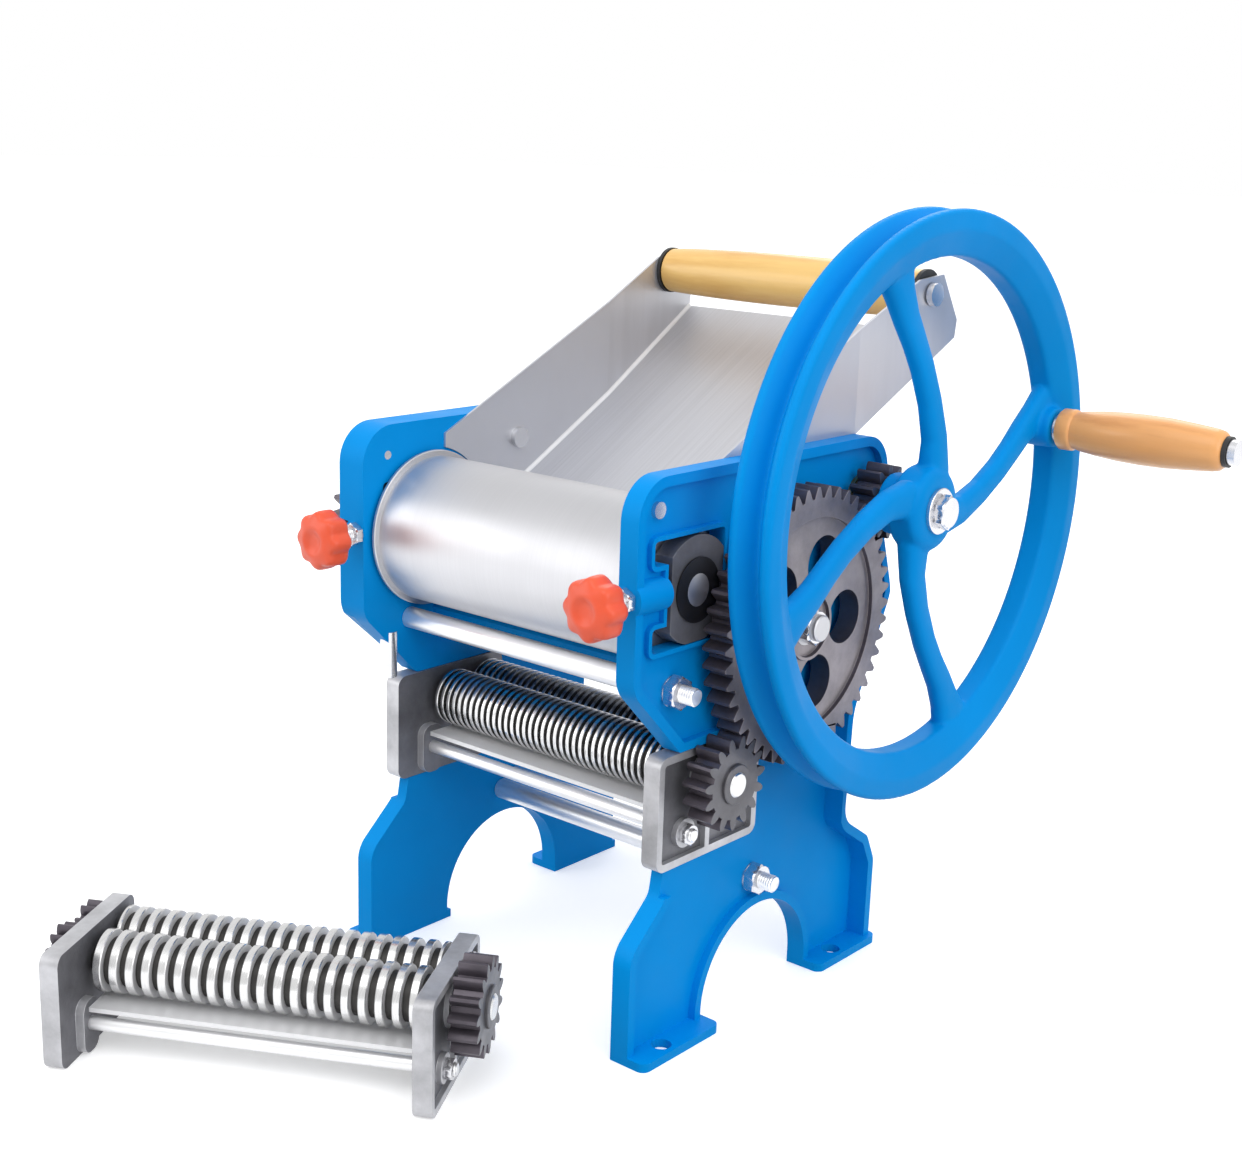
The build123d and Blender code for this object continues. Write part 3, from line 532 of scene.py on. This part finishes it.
NODE_MATERIALS = {
    BLUE: ("left_side_plate", "right_side_plate", "cross_plate", "hand_wheel"),
    SHEET: ("hopper_chute",),
    BAR_WOOD: ("hopper_bar",),
    GRIP_WOOD: ("handle_grip",),
    BLACK: ("hopper_bar_rings", "handle_washer"),
    ROD: ("upper_tie_rod", "lower_tie_rod", "lower_guide_rod", "fine_tie_rods", "wide_tie_rods"),
    STRIP: ("fine_front_scraper", "wide_front_scraper", "fine_rear_scraper", "wide_rear_scraper"),
    ZINC: ("tie_rod_nuts", "hopper_screws", "plate_screws", "block_clamp_screw", "wheel_bolt",
           "handle_spindle", "left_knob_screw", "right_knob_screw", "big_gear_nut", "drive_shaft",
           "fine_block_nuts", "wide_block_nuts"),
    DARK: ("front_shaft_washer",),
    ROLLER: ("rear_roller", "front_roller"),
    CUTTER: ("fine_front_cutter", "fine_rear_cutter", "wide_front_cutter", "wide_rear_cutter"),
    BIG_GEAR: ("big_gear",),
    GEAR: ("rear_sync_gear", "front_sync_gear", "pinion", "fine_drive_gear", "wide_drive_gear",
           "fine_front_sync_gear", "wide_front_sync_gear", "fine_rear_sync_gear",
           "wide_rear_sync_gear"),
    BLOCK: ("left_bearing_block", "right_bearing_block", "fine_left_end_plate",
            "fine_right_end_plate", "wide_left_end_plate", "wide_right_end_plate"),
    BRONZE: ("rear_roller_bushes", "drive_shaft_bushes"),
    ORANGE: ("left_knob", "right_knob"),
}
for item, names in NODE_MATERIALS.items():
    for name in names:
        mesh = frame["nodes"][name].data
        mesh.materials.clear()
        mesh.materials.append(item)


# ---- castings and gears ---------------------------------------------------------------------
def paint_end_plate_light(plate):
    """Gives an end plate's sunk flat faces the darker gray as painted shade, below its rim, which
    with the edges and sides keeps the paler gray as painted highlight.
    """
    plate.data.materials.append(BLOCK)
    spin = joint_place(plate.name.split("_")[0] + "_front_cutter_spin")
    along = (spin.to_3x3() @ Vector((1, 0, 0))).normalized()
    reach = [abs((spin.inverted() @ (vert.co / MM)).x) for vert in plate.data.vertices]
    rim = max(reach)
    for face in plate.data.polygons:
        flat = abs(face.normal.dot(along)) > 0.9
        sunk = max(reach[number] for number in face.vertices) < rim - 0.5
        # The sunk flat faces get the darker gray casting: painted shade.
        if flat and sunk:
            face.material_index = 1


def oiled(wheel):
    """Gives a gear's teeth their darker oil, below its wiped faces."""
    wheel.data.materials.append(TEETH)
    for face in wheel.data.polygons:
        if abs(face.normal.x) < 0.5:
            face.material_index = 1


def deepened(plate):
    """Draws the left casting's upper rim out to the depth that hides the edge of the gears."""
    for vert in plate.data.vertices:
        x, _, z = vert.co / MM
        on_face = abs(x + RIM_FACE) < 0.1
        if on_face and z > JAW_HEIGHT:
            vert.co.x = -DEEP_RIM_FACE * MM


def oiled_gear(node, body, item=GEAR, width=0.25):
    """A gear with eased edges and oil between its teeth."""
    oiled(eased(node, body, item, width))


deepened(eased("left_side_plate", "frame", BLUE, 1.6, 3))
eased("right_side_plate", "frame", BLUE, 1.6, 3)
eased("cross_plate", "frame", BLUE, 0.5)
oiled_gear("big_gear", "rear_roller_body", BIG_GEAR)
oiled_gear("pinion", "wheel_body")
oiled_gear("rear_sync_gear", "rear_roller_body")
oiled_gear("front_sync_gear", "front_roller_body")
for side in ("left", "right"):
    eased(side + "_bearing_block", "roller_carriage", BLOCK, 0.5)
    for kind in ("fine", "wide"):
        paint_end_plate_light(eased(f"{kind}_{side}_end_plate", kind + "_block", HIGHLIT_CASTING, 0.45))
for kind in ("fine", "wide"):
    oiled_gear(kind + "_drive_gear", kind + "_front_body")
    oiled_gear(kind + "_front_sync_gear", kind + "_front_body", width=0.2)
    oiled_gear(kind + "_rear_sync_gear", kind + "_rear_body", width=0.2)


# ---- hand wheel -----------------------------------------------------------------------------
def spoke_line(turn):
    """Points of a spoke's middle line: radius, direction, half width, half thickness."""
    stations = ((8.0, -30.0, 9.0, 6.0), (18.0, -20.5, 8.6, 5.6), (32.0, -9.0, 7.2, 4.6),
                (48.0, 1.2, 6.4, 4.4), (65.0, 8.5, 6.2, 4.4), (78.0, 13.0, 6.4, 4.4),
                (90.0, 16.4, 7.0, 4.6), (102.0, 18.2, 8.4, 4.8), (114.0, 19.2, 11.5, 5.4))
    line = []
    for radius, degrees, half_width, half_thick in stations:
        line.append((*polar(radius, turn + degrees), half_width, half_thick))
    return line


def fuller(value):
    """A sine or a cosine, swollen so that the section it draws is squarer."""
    return math.copysign(abs(value) ** SPOKE_FULLNESS, value)


def spoke(shape, turn, place, segments=20):
    """A rounded bar that follows the spoke's line."""
    line = spoke_line(turn)
    start = len(shape.verts)
    for index, (y, z, half_width, half_thick) in enumerate(line):
        before = line[max(index - 1, 0)]
        after = line[min(index + 1, len(line) - 1)]
        run = Vector((after[0] - before[0], after[1] - before[1])).normalized()
        across = Vector((-run.y, run.x))
        for step in range(segments):
            angle = 2 * math.pi * step / segments
            wide = fuller(math.cos(angle)) * half_width
            deep = fuller(math.sin(angle)) * half_thick
            point = Vector((WHEEL_MID + deep, y + across.x * wide, z + across.y * wide))
            shape.verts.append(place @ point)
    for index in range(len(line) - 1):
        a = start + index * segments
        for step in range(segments):
            after = (step + 1) % segments
            shape.faces.append((a + step, a + after, a + segments + after, a + segments + step))
            shape.slots.append(0)
    end = start + (len(line) - 1) * segments
    shape.faces.append(tuple(start + step for step in reversed(range(segments))))
    shape.faces.append(tuple(end + step for step in range(segments)))
    shape.slots += [0, 0]


def on_wheel(profile):
    """A profile that is given about the wheel's middle, moved to its place on the shaft."""
    return [(WHEEL_MID + x, radius) for x, radius in profile]


def hand_wheel():
    """The cast wheel: the solids' rim, spokes and hub melted into each other with fillets."""
    place = joint_place("hand_wheel_spin")
    half = WHEEL_WIDTH / 2
    lip = WHEEL_LIP / 2
    groove = [(-GROOVE_WIDTH / 2, WHEEL_R), (0, WHEEL_R - GROOVE_DEPTH),
              (GROOVE_WIDTH / 2, WHEEL_R)]
    side = [(half - 1, WHEEL_R), (half, WHEEL_R - 1), (half, WHEEL_R - 9), (half - 2, WHEEL_R - 14),
            (lip, WHEEL_INNER_R + 1), (lip - 1, WHEEL_INNER_R)]
    bore = DRIVE_SHAFT_R - 0.6
    hub = [(HUB_BACK, bore), (HUB_BACK, HUB_BOSS_R), (1 - half, HUB_BOSS_R + 0.4),
           (4 - half, HUB_R), (5, HUB_R), (7, HUB_R - 2), (HUB_FACE, HUB_R - 5), (HUB_FACE, bore)]
    pad = [(1 - lip, 9.0), (2 - lip, 9.8), (half - 1, 9.8), (half, 8.8)]
    shape = Shape()
    shape.turned(on_wheel(groove + side + mirrored(side)), 192, place, closed=True)
    shape.turned(on_wheel(hub), 96, place, closed=True)
    for arm in range(SPOKES):
        spoke(shape, arm * 360.0 / SPOKES, place)
    grip_axis = place.inverted() @ joint_place("handle_grip_spin").translation
    shape.turned(on_wheel(pad), 64, place @ Matrix.Translation((0, grip_axis.y, grip_axis.z)))
    wheel = shape.build("cast_hand_wheel", "wheel_body", [BLUE], "blue_paint", ("hand_wheel",), 60)
    melt = wheel.modifiers.new("melt", "REMESH")
    melt.mode = "VOXEL"
    melt.voxel_size = 0.9 * MM
    melt.use_smooth_shade = True
    soften = wheel.modifiers.new("soften", "SMOOTH")
    soften.factor = 0.5
    soften.iterations = 7


hand_wheel()


# ---- rollers --------------------------------------------------------------------------------
def smooth_rollers():
    """Both sheeting rollers with eased ends, finer than the solids."""
    sync_seat = [(-SYNC_STUD_TIP, STUD_R - SHAFT_EASE), (0.5 - SYNC_STUD_TIP, STUD_R),
                 (-SYNC_FRONT, STUD_R), (-SYNC_FRONT, SEAT_R), (-SYNC_BACK, SEAT_R),
                 (-SYNC_BACK, JOURNAL_R)]
    shoulder = PLATE_INNER - SLIP
    shoulder_r = JOURNAL_R + 3
    rear_end = [(ROLLER_HALF - 1, ROLLER_R), (ROLLER_HALF, ROLLER_R - 1),
                (ROLLER_HALF, shoulder_r), (shoulder, shoulder_r), (shoulder, JOURNAL_R)]
    gear_seat = [(BIG_GEAR_BACK, JOURNAL_R), (BIG_GEAR_BACK, SEAT_R), (BIG_GEAR_FRONT, SEAT_R),
                 (BIG_GEAR_FRONT, STUD_R), (GEAR_STUD_TIP - 0.5, STUD_R),
                 (GEAR_STUD_TIP, STUD_R - SHAFT_EASE)]
    collar = ROLLER_HALF + SLIP + COLLAR_THICK
    front_end = [(ROLLER_HALF, ROLLER_R), (ROLLER_HALF + 0.4, COLLAR_R - 0.4),
                 (ROLLER_HALF + 0.8, COLLAR_R), (collar - 0.5, COLLAR_R),
                 (collar, COLLAR_R - 0.5), (collar, JOURNAL_R)]
    washer_seat = [(FRONT_JOURNAL_END, JOURNAL_R), (FRONT_JOURNAL_END, FRONT_STUD_R),
                   (FRONT_SHAFT_END - 0.2, FRONT_STUD_R),
                   (FRONT_SHAFT_END, FRONT_STUD_R - SHAFT_EASE)]
    for which, end, seat in (("rear", rear_end, gear_seat), ("front", front_end, washer_seat)):
        profile = sync_seat + mirrored(end) + end + seat
        shape = Shape().turned(profile, 160, joint_place(which + "_roller_spin"))
        shape.build(f"ground_{which}_roller", which + "_roller_body", [ROLLER], "roller_chrome",
                    (which + "_roller",))


smooth_rollers()


def cutter(kind, which, discs):
    """A cutting roller: slot 0 for the ridges, 1 for the grooves, painted nearly black as their
    shade, 2 for the wide ridges' sides.
    """
    driven = which == "front"
    place = joint_place(f"{kind}_{which}_cutter_spin")
    pitch = 2 * CUTTER_HALF / discs
    ridge = pitch * 0.49
    ease = min(0.35, ridge * 0.2)
    first = pitch / 2 if driven else 0.0
    count = discs if driven else discs + 1
    right_end = DRIVEN_CUTTER_END if driven else PLAIN_CUTTER_END
    tip_r = CUTTER_JOURNAL_R - SHAFT_EASE
    profile = [(-CUTTER_LEFT_END, tip_r), (SHAFT_EASE - CUTTER_LEFT_END, CUTTER_JOURNAL_R),
               (-CUTTER_HALF, CUTTER_JOURNAL_R)]
    wall = 2 if kind == "wide" else 0
    slots = [1, 1, 1]
    for disc in range(count):
        middle = disc * pitch + first - CUTTER_HALF
        low = max(middle - ridge / 2, -CUTTER_HALF)
        high = min(middle + ridge / 2, CUTTER_HALF)
        profile += [(low, CUTTER_ROOT_R), (low, CUTTER_R - ease), (low + ease, CUTTER_R),
                    (high - ease, CUTTER_R), (high, CUTTER_R - ease), (high, CUTTER_ROOT_R)]
        slots += [wall, 0, 0, 0, wall, 1]
    profile += [(CUTTER_HALF, CUTTER_ROOT_R), (CUTTER_HALF, CUTTER_JOURNAL_R),
                (right_end - SHAFT_EASE, CUTTER_JOURNAL_R), (right_end, tip_r)]
    slots += [1, 0, 0, 0]
    shape = Shape().turned(profile, 72, place, slot=lambda ring: slots[ring])
    shape.build(f"{kind}_{which}_ground_cutter", f"{kind}_{which}_body", [CUTTER, GROOVE_SHADE, FLANK],
                "roller_chrome", (f"{kind}_{which}_cutter",))


def gear_boss(kind):
    """The low ring that stands out of a drive gear round its shaft."""
    back = DRIVE_GEAR_FACE - 0.2
    front = DRIVE_GEAR_FACE + GEAR_BOSS_RISE
    ring = [(back, CUTTER_JOURNAL_R), (back, GEAR_BOSS_R), (front - 0.4, GEAR_BOSS_R),
            (front, GEAR_BOSS_R - 0.4), (front, CUTTER_JOURNAL_R)]
    shape = Shape().turned(ring, 48, joint_place(kind + "_front_cutter_spin"), closed=True)
    shape.build(kind + "_gear_boss", kind + "_front_body", [GEAR], "gear_iron")


for kind, discs in (("fine", FINE_DISCS), ("wide", WIDE_DISCS)):
    cutter(kind, "front", discs)
    cutter(kind, "rear", discs)
    gear_boss(kind)


# ---- hopper ---------------------------------------------------------------------------------
def chute_bends():
    """The rounded inner bends of the sheet, their corner sunk a little into it, in the paler
    scraper metal as a painted highlight along each crease.
    """
    sunk = 0.3
    shape = Shape()
    for side in (-1, 1):
        start = len(shape.verts)
        for y in (TRAY_FOOT, FLARE_FROM, TRAY_BACK):
            wall = WALL_INSIDE + max(0.0, y - FLARE_FROM) * math.tan(math.radians(FLARE))
            tray = TRAY_FOOT_Z + (y - TRAY_FOOT) * math.tan(math.radians(TRAY_RISE))
            shape.verts.append(Vector((side * (wall + sunk), y, tray - sunk)))
            for step in range(BEND_STEPS + 1):
                across, up = polar(BEND_R, 90.0 * step / BEND_STEPS)
                shape.verts.append(Vector((side * (wall - BEND_R + across), y, tray + BEND_R - up)))
        ring = BEND_STEPS + 2
        for a in (start, start + ring):
            for step in range(ring):
                after = (step + 1) % ring
                shape.faces.append((a + step, a + after, a + ring + after, a + ring + step))
        shape.faces.append(tuple(start + step for step in range(ring)))
        shape.faces.append(tuple(start + 2 * ring + step for step in range(ring)))
    shape.slots = [0] * len(shape.faces)
    # Paler than the sheet: painted highlight along the bends.
    shape.build("chute_bends", "frame", [STRIP])


chute_bends()


# ---- rods, nuts and screws ------------------------------------------------------------------
def tie_rod(node):
    """A shouldered rod with real threads on both ends."""
    place = along_x(node)
    body_r = ROD_R + 1
    shape = Shape()
    end = [(PLATE_INNER - ROD_EASE, body_r), (PLATE_INNER, body_r - ROD_EASE)]
    shape.turned(mirrored(end) + end, 64, place)
    for side in (-1, 1):
        shape.thread(ROD_R, *span(side, PLATE_INNER - 0.2, ROD_TIP), place=place)
    shape.build(node + "_threaded", "frame", [ROD], "bright_steel", (node,))


for node in ("upper_tie_rod", "lower_tie_rod"):
    tie_rod(node)


def rod_nuts():
    """Chamfered nuts with a washer face on the castings."""
    shape = Shape()
    for node in ("upper_tie_rod", "lower_tie_rod"):
        place = along_x(node)
        for side in (-1, 1):
            washer_face = PLATE_OUTER + WASHER_THICK
            ends = span(side, washer_face, PLATE_OUTER + NUT_THICK)
            shape.nut(NUT_R, *ends, bore=ROD_R, place=place)
            low, high = span(side, PLATE_OUTER, washer_face)
            washer = [(low, ROD_R), (low, WASHER_R), (high, WASHER_R), (high, ROD_R)]
            shape.turned(washer, 48, place, closed=True)
    shape.build("rod_nuts_chamfered", "frame", [ZINC], "bright_steel", ("tie_rod_nuts",))


rod_nuts()


def on_end_plate(kind, place):
    """An axis through a block's end plates, found from the front cutter's."""
    forward, up = place[0] - CUTTER_PLACE[0], place[1] - CUTTER_PLACE[1]
    return joint_place(kind + "_front_cutter_spin") @ Matrix.Translation((0, forward, up))


def block_fasteners(kind):
    """The block's front rod with threaded ends, the plain rod behind it, and their nuts."""
    front = on_end_plate(kind, FRONT_ROD_PLACE)
    rear = on_end_plate(kind, REAR_ROD_PLACE)
    half = BLOCK_ROD_HALF
    shape = Shape().turned([(-half, BLOCK_ROD_R), (half, BLOCK_ROD_R)], 48, front)
    for side in (-1, 1):
        ends = span(side, half - 0.2, BLOCK_ROD_TIP)
        shape.thread(BLOCK_ROD_R, *ends, pitch=1.0, depth=0.45, place=front)
    end = [(half - ROD_EASE, BLOCK_ROD_R), (half, BLOCK_ROD_R - ROD_EASE)]
    shape.turned(mirrored(end) + end, 48, rear)
    shape.build(kind + "_rods_threaded", kind + "_block", [ROD], "bright_steel",
                (kind + "_tie_rods",))
    nuts = Shape()
    for side in (-1, 1):
        ends = span(side, BLOCK_NUT_BACK, BLOCK_NUT_FRONT)
        nuts.nut(BLOCK_NUT_R, *ends, bore=BLOCK_ROD_R, place=front)
    nuts.build(kind + "_nuts_chamfered", kind + "_block", [ZINC], "bright_steel",
               (kind + "_block_nuts",))


for kind in ("fine", "wide"):
    block_fasteners(kind)


def hub_bolt():
    """Hexagon bolt and washer on the wheel's hub."""
    place = joint_place("hand_wheel_spin")
    low = WHEEL_MID + 8
    high = low + WHEEL_WASHER_THICK
    washer = [(low, WHEEL_BOLT_R), (low, WHEEL_WASHER_R), (high - 0.3, WHEEL_WASHER_R),
              (high, WHEEL_WASHER_R - 0.4), (high, WHEEL_BOLT_R)]
    shape = Shape().turned(washer, 64, place, closed=True)
    shape.nut(WHEEL_BOLT_HEAD_R, high, high + WHEEL_BOLT_HEAD, place=place)
    shape.thread(WHEEL_BOLT_R, low - 15, high, place=place)
    shape.build("hub_bolt_chamfered", "wheel_body", [ZINC], "bright_steel", ("wheel_bolt",))


hub_bolt()


def big_gear_nut():
    """Chamfered nut on the rear roller's end."""
    place = joint_place("rear_roller_spin")
    shape = Shape().nut(GEAR_NUT_R, BIG_GEAR_FRONT, GEAR_NUT_FRONT, bore=STUD_R, place=place)
    shape.build("gear_nut_chamfered", "rear_roller_body", [ZINC], "bright_steel",
                ("big_gear_nut",))


big_gear_nut()


# ---- wooden pieces --------------------------------------------------------------------------
def grip():
    """The handle: a waist by the wheel, a belly in the middle, a rounded end."""
    bore = 4.15
    low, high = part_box("handle_grip")
    start = low.x / MM
    length = (high.x - low.x) / MM
    place = joint_place("handle_grip_spin")
    place = Matrix.Translation((-place.translation.x, 0, 0)) @ place
    profile = [(0, bore), (0, 9.2), (1.0, 10.0), (6.2, 10.0), (7.0, 9.7), (7.6, 9.0), (8.6, 9.1),
               (12, 9.8), (20, 10.8), (30, 11.6), (42, 12.0), (54, 11.8), (64, 11.1), (72, 10.4),
               (77, 9.9), (80, 9.2), (81.4, 8.0), (length, 6.8), (length, bore)]
    profile = [(start + x, r) for x, r in profile]
    shape = Shape().turned(profile, 96, place, closed=True)
    shape.build("turned_grip", "grip_body", [GRIP_WOOD], "grip_wood", ("handle_grip",), 40)


grip()


def bar():
    """The hopper's bar, slightly thicker in the middle."""
    low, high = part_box("hopper_bar")
    half = (high.x - low.x) / 2 / MM
    ease = 0.8
    stations = 24
    profile = [(-half, BAR_END_R)]
    for step in range(stations + 1):
        x = -half + ease + (2 * half - 2 * ease) * step / stations
        profile.append((x, BAR_SIDE_R + BAR_BELLY * (1 - (x / half) ** 2) ** 0.7))
    profile.append((half, BAR_END_R))
    shape = Shape().turned(profile, 96, along_x("hopper_bar"))
    shape.build("turned_bar", "frame", [BAR_WOOD], "bar_wood", ("hopper_bar",), 40)


bar()


# ---- knobs ----------------------------------------------------------------------------------
def knob(side):
    """A lobed knob with soft edges and a shallow dish in its face."""
    low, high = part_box(side + "_knob")
    middle = centre(side + "_knob")
    back = high.y / MM
    depth = back - low.y / MM
    turn = Matrix.Rotation(math.radians(-90), 4, "Z")
    place = Matrix.Translation((middle.x, back, middle.z)) @ turn
    outer = (high.x - low.x) / 2 / MM
    # share of the depth, share of the radius, share of the lobes' height
    rings = [(0.0, 0.30, 0.0), (0.0, 0.80, 0.6), (0.06, 0.92, 0.9), (0.16, 0.985, 1.0),
             (0.30, 1.0, 1.0), (0.62, 1.0, 1.0), (0.76, 0.98, 1.0), (0.85, 0.93, 0.9),
             (0.90, 0.84, 0.6), (0.93, 0.70, 0.2), (0.97, 0.60, 0.0), (1.0, 0.50, 0.0),
             (1.0, 0.40, 0.0), (0.93, 0.32, 0.0), (0.92, 0.1, 0.0)]

    def radius(ring, angle):
        _, share, lobes = rings[ring]
        wave = 0.5 + 0.5 * math.cos(KNOB_LOBES * angle)
        return outer * share * (1 - 0.13 * lobes * (1 - wave ** 0.8))

    stations = [share * depth for share, _, _ in rings]
    shape = Shape().loft(stations, radius, 128, place=place)
    shape.build(side + "_knob_moulded", side + "_knob_body", [ORANGE], "orange_plastic",
                (side + "_knob",), 50)


def knob_screw(side):
    """The gap screw's threads, with its collar by the casting."""
    low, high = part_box(side + "_knob_screw")
    middle = centre(side + "_knob_screw")
    place = Matrix.Translation((middle.x, 0, middle.z)) @ Matrix.Rotation(math.radians(90), 4, "Z")
    ends = (low.y / MM, high.y / MM)
    shape = Shape().thread(KNOB_SCREW_R, *ends, pitch=1.0, depth=0.4, place=place)
    shape.nut(KNOB_NUT_R, KNOB_NUT_FRONT, KNOB_NUT_BACK, place=place)
    shape.build(side + "_knob_screw_threaded", side + "_knob_body", [ZINC], "bright_steel",
                (side + "_knob_screw",))


for side in ("left", "right"):
    knob(side)
    knob_screw(side)


# ---- floor, light and camera ----------------------------------------------------------------
def looked_at(tree):
    """1 for rays that come from the camera, straight or by a reflection, and 0 for the light."""
    path = tree.nodes.new("ShaderNodeLightPath")
    total = path.outputs["Is Camera Ray"]
    for kind in ("Is Glossy Ray", "Is Transmission Ray"):
        more = tree.nodes.new("ShaderNodeMath")
        more.operation = "MAXIMUM"
        tree.links.new(total, more.inputs[0])
        tree.links.new(path.outputs[kind], more.inputs[1])
        total = more.outputs["Value"]
    return total


def floor():
    """A pale table top, lifted to near white where the camera sees it, straight or mirrored."""
    reach = 14.0
    white = (1, 1, 1)
    mesh = bpy.data.meshes.new("floor")
    corners = [(-reach, -reach, 0), (reach, -reach, 0), (reach, reach, 0), (-reach, reach, 0)]
    mesh.from_pydata(corners, [], [(0, 1, 2, 3)])
    top = linked("floor", mesh)
    item = bpy.data.materials.new("floor")
    item.use_nodes = True
    tree = item.node_tree
    shader = tree.nodes["Principled BSDF"]
    shader.inputs["Roughness"].default_value = 0.9
    shader.inputs["Specular IOR Level"].default_value = 0.1
    shader.inputs["Emission Color"].default_value = (*white, 1)
    seen = looked_at(tree)
    mix = tree.nodes.new("ShaderNodeMix")
    mix.data_type = "RGBA"
    mix.inputs["A"].default_value = (*shade(white, FLOOR_LIT), 1)
    mix.inputs["B"].default_value = (*shade(white, FLOOR_SEEN), 1)
    tree.links.new(seen, mix.inputs["Factor"])
    tree.links.new(mix.outputs["Result"], shader.inputs["Base Color"])
    lift = tree.nodes.new("ShaderNodeMath")
    lift.operation = "MULTIPLY"
    lift.inputs[1].default_value = FLOOR_LIFT
    tree.links.new(seen, lift.inputs[0])
    tree.links.new(lift.outputs["Value"], shader.inputs["Emission Strength"])
    mesh.materials.append(item)


def world():
    """White to the camera and in reflections; a bright ceiling above grayer walls for the light."""
    sky = bpy.data.worlds.new("studio")
    bpy.context.scene.world = sky
    sky.use_nodes = True
    tree = sky.node_tree
    tree.nodes.clear()
    seen = looked_at(tree)
    place = tree.nodes.new("ShaderNodeTexCoord")
    split = tree.nodes.new("ShaderNodeSeparateXYZ")
    walls = tree.nodes.new("ShaderNodeMapRange")
    walls.interpolation_type = "SMOOTHSTEP"
    walls.inputs["From Min"].default_value = -0.1
    walls.inputs["From Max"].default_value = 0.75
    walls.inputs["To Min"].default_value = WALL_LIGHT
    walls.inputs["To Max"].default_value = CEILING_LIGHT
    tree.links.new(place.outputs["Generated"], split.inputs["Vector"])
    tree.links.new(split.outputs["Z"], walls.inputs["Value"])
    room = tree.nodes.new("ShaderNodeBackground")
    room.inputs["Color"].default_value = (0.97, 0.98, 1.0, 1)
    tree.links.new(walls.outputs["Result"], room.inputs["Strength"])
    white = tree.nodes.new("ShaderNodeBackground")
    white.inputs["Color"].default_value = (1, 1, 1, 1)
    mix = tree.nodes.new("ShaderNodeMixShader")
    out = tree.nodes.new("ShaderNodeOutputWorld")
    tree.links.new(seen, mix.inputs["Fac"])
    tree.links.new(room.outputs["Background"], mix.inputs[1])
    tree.links.new(white.outputs["Background"], mix.inputs[2])
    tree.links.new(mix.outputs["Shader"], out.inputs["Surface"])


def lamp(name, place, target, size, power):
    """A soft square lamp aimed at a point."""
    data = bpy.data.lights.new(name, "AREA")
    data.energy = power
    data.size = size
    light = linked(name, data)
    light.location = place
    aim = Vector(target) - Vector(place)
    light.rotation_mode = "QUATERNION"
    light.rotation_quaternion = aim.to_track_quat("-Z", "Y")


def camera():
    """The photograph's viewpoint, worked out from the press's own lines."""
    data = bpy.data.cameras.new("camera")
    data.lens = CAMERA_LENS
    data.sensor_width = SENSOR
    data.clip_start = 0.01
    data.clip_end = 100
    view = linked("camera", data)
    yaw = math.radians(CAMERA_YAW)
    down = math.radians(CAMERA_DOWN)
    roll = math.radians(CAMERA_ROLL)
    reach = math.cos(down)
    forward = Vector((-math.sin(yaw) * reach, math.cos(yaw) * reach, -math.sin(down)))
    level = Vector((math.cos(yaw), math.sin(yaw), 0))
    up = level.cross(forward)
    right = math.cos(roll) * level + math.sin(roll) * up
    top = math.cos(roll) * up - math.sin(roll) * level
    turn = Matrix((right, top, -forward)).transposed().to_4x4()
    view.matrix_world = Matrix.Translation(CAMERA_PLACE) @ turn
    bpy.context.scene.camera = view


floor()
world()
lamp("key", (0.3, -1.0, 1.7), (0, 0, 0.15), 1.3, 7)
lamp("front", (-0.95, -1.10, 0.62), (0, 0, 0.2), 0.8, 4)
lamp("fill", (1.5, -0.2, 0.9), (0, 0, 0.15), 1.2, 7.5)
lamp("back", (-0.5, 1.3, 1.3), (0, 0, 0.2), 1.0, 5)
camera()
bpy.context.scene.view_settings.view_transform = "Standard"
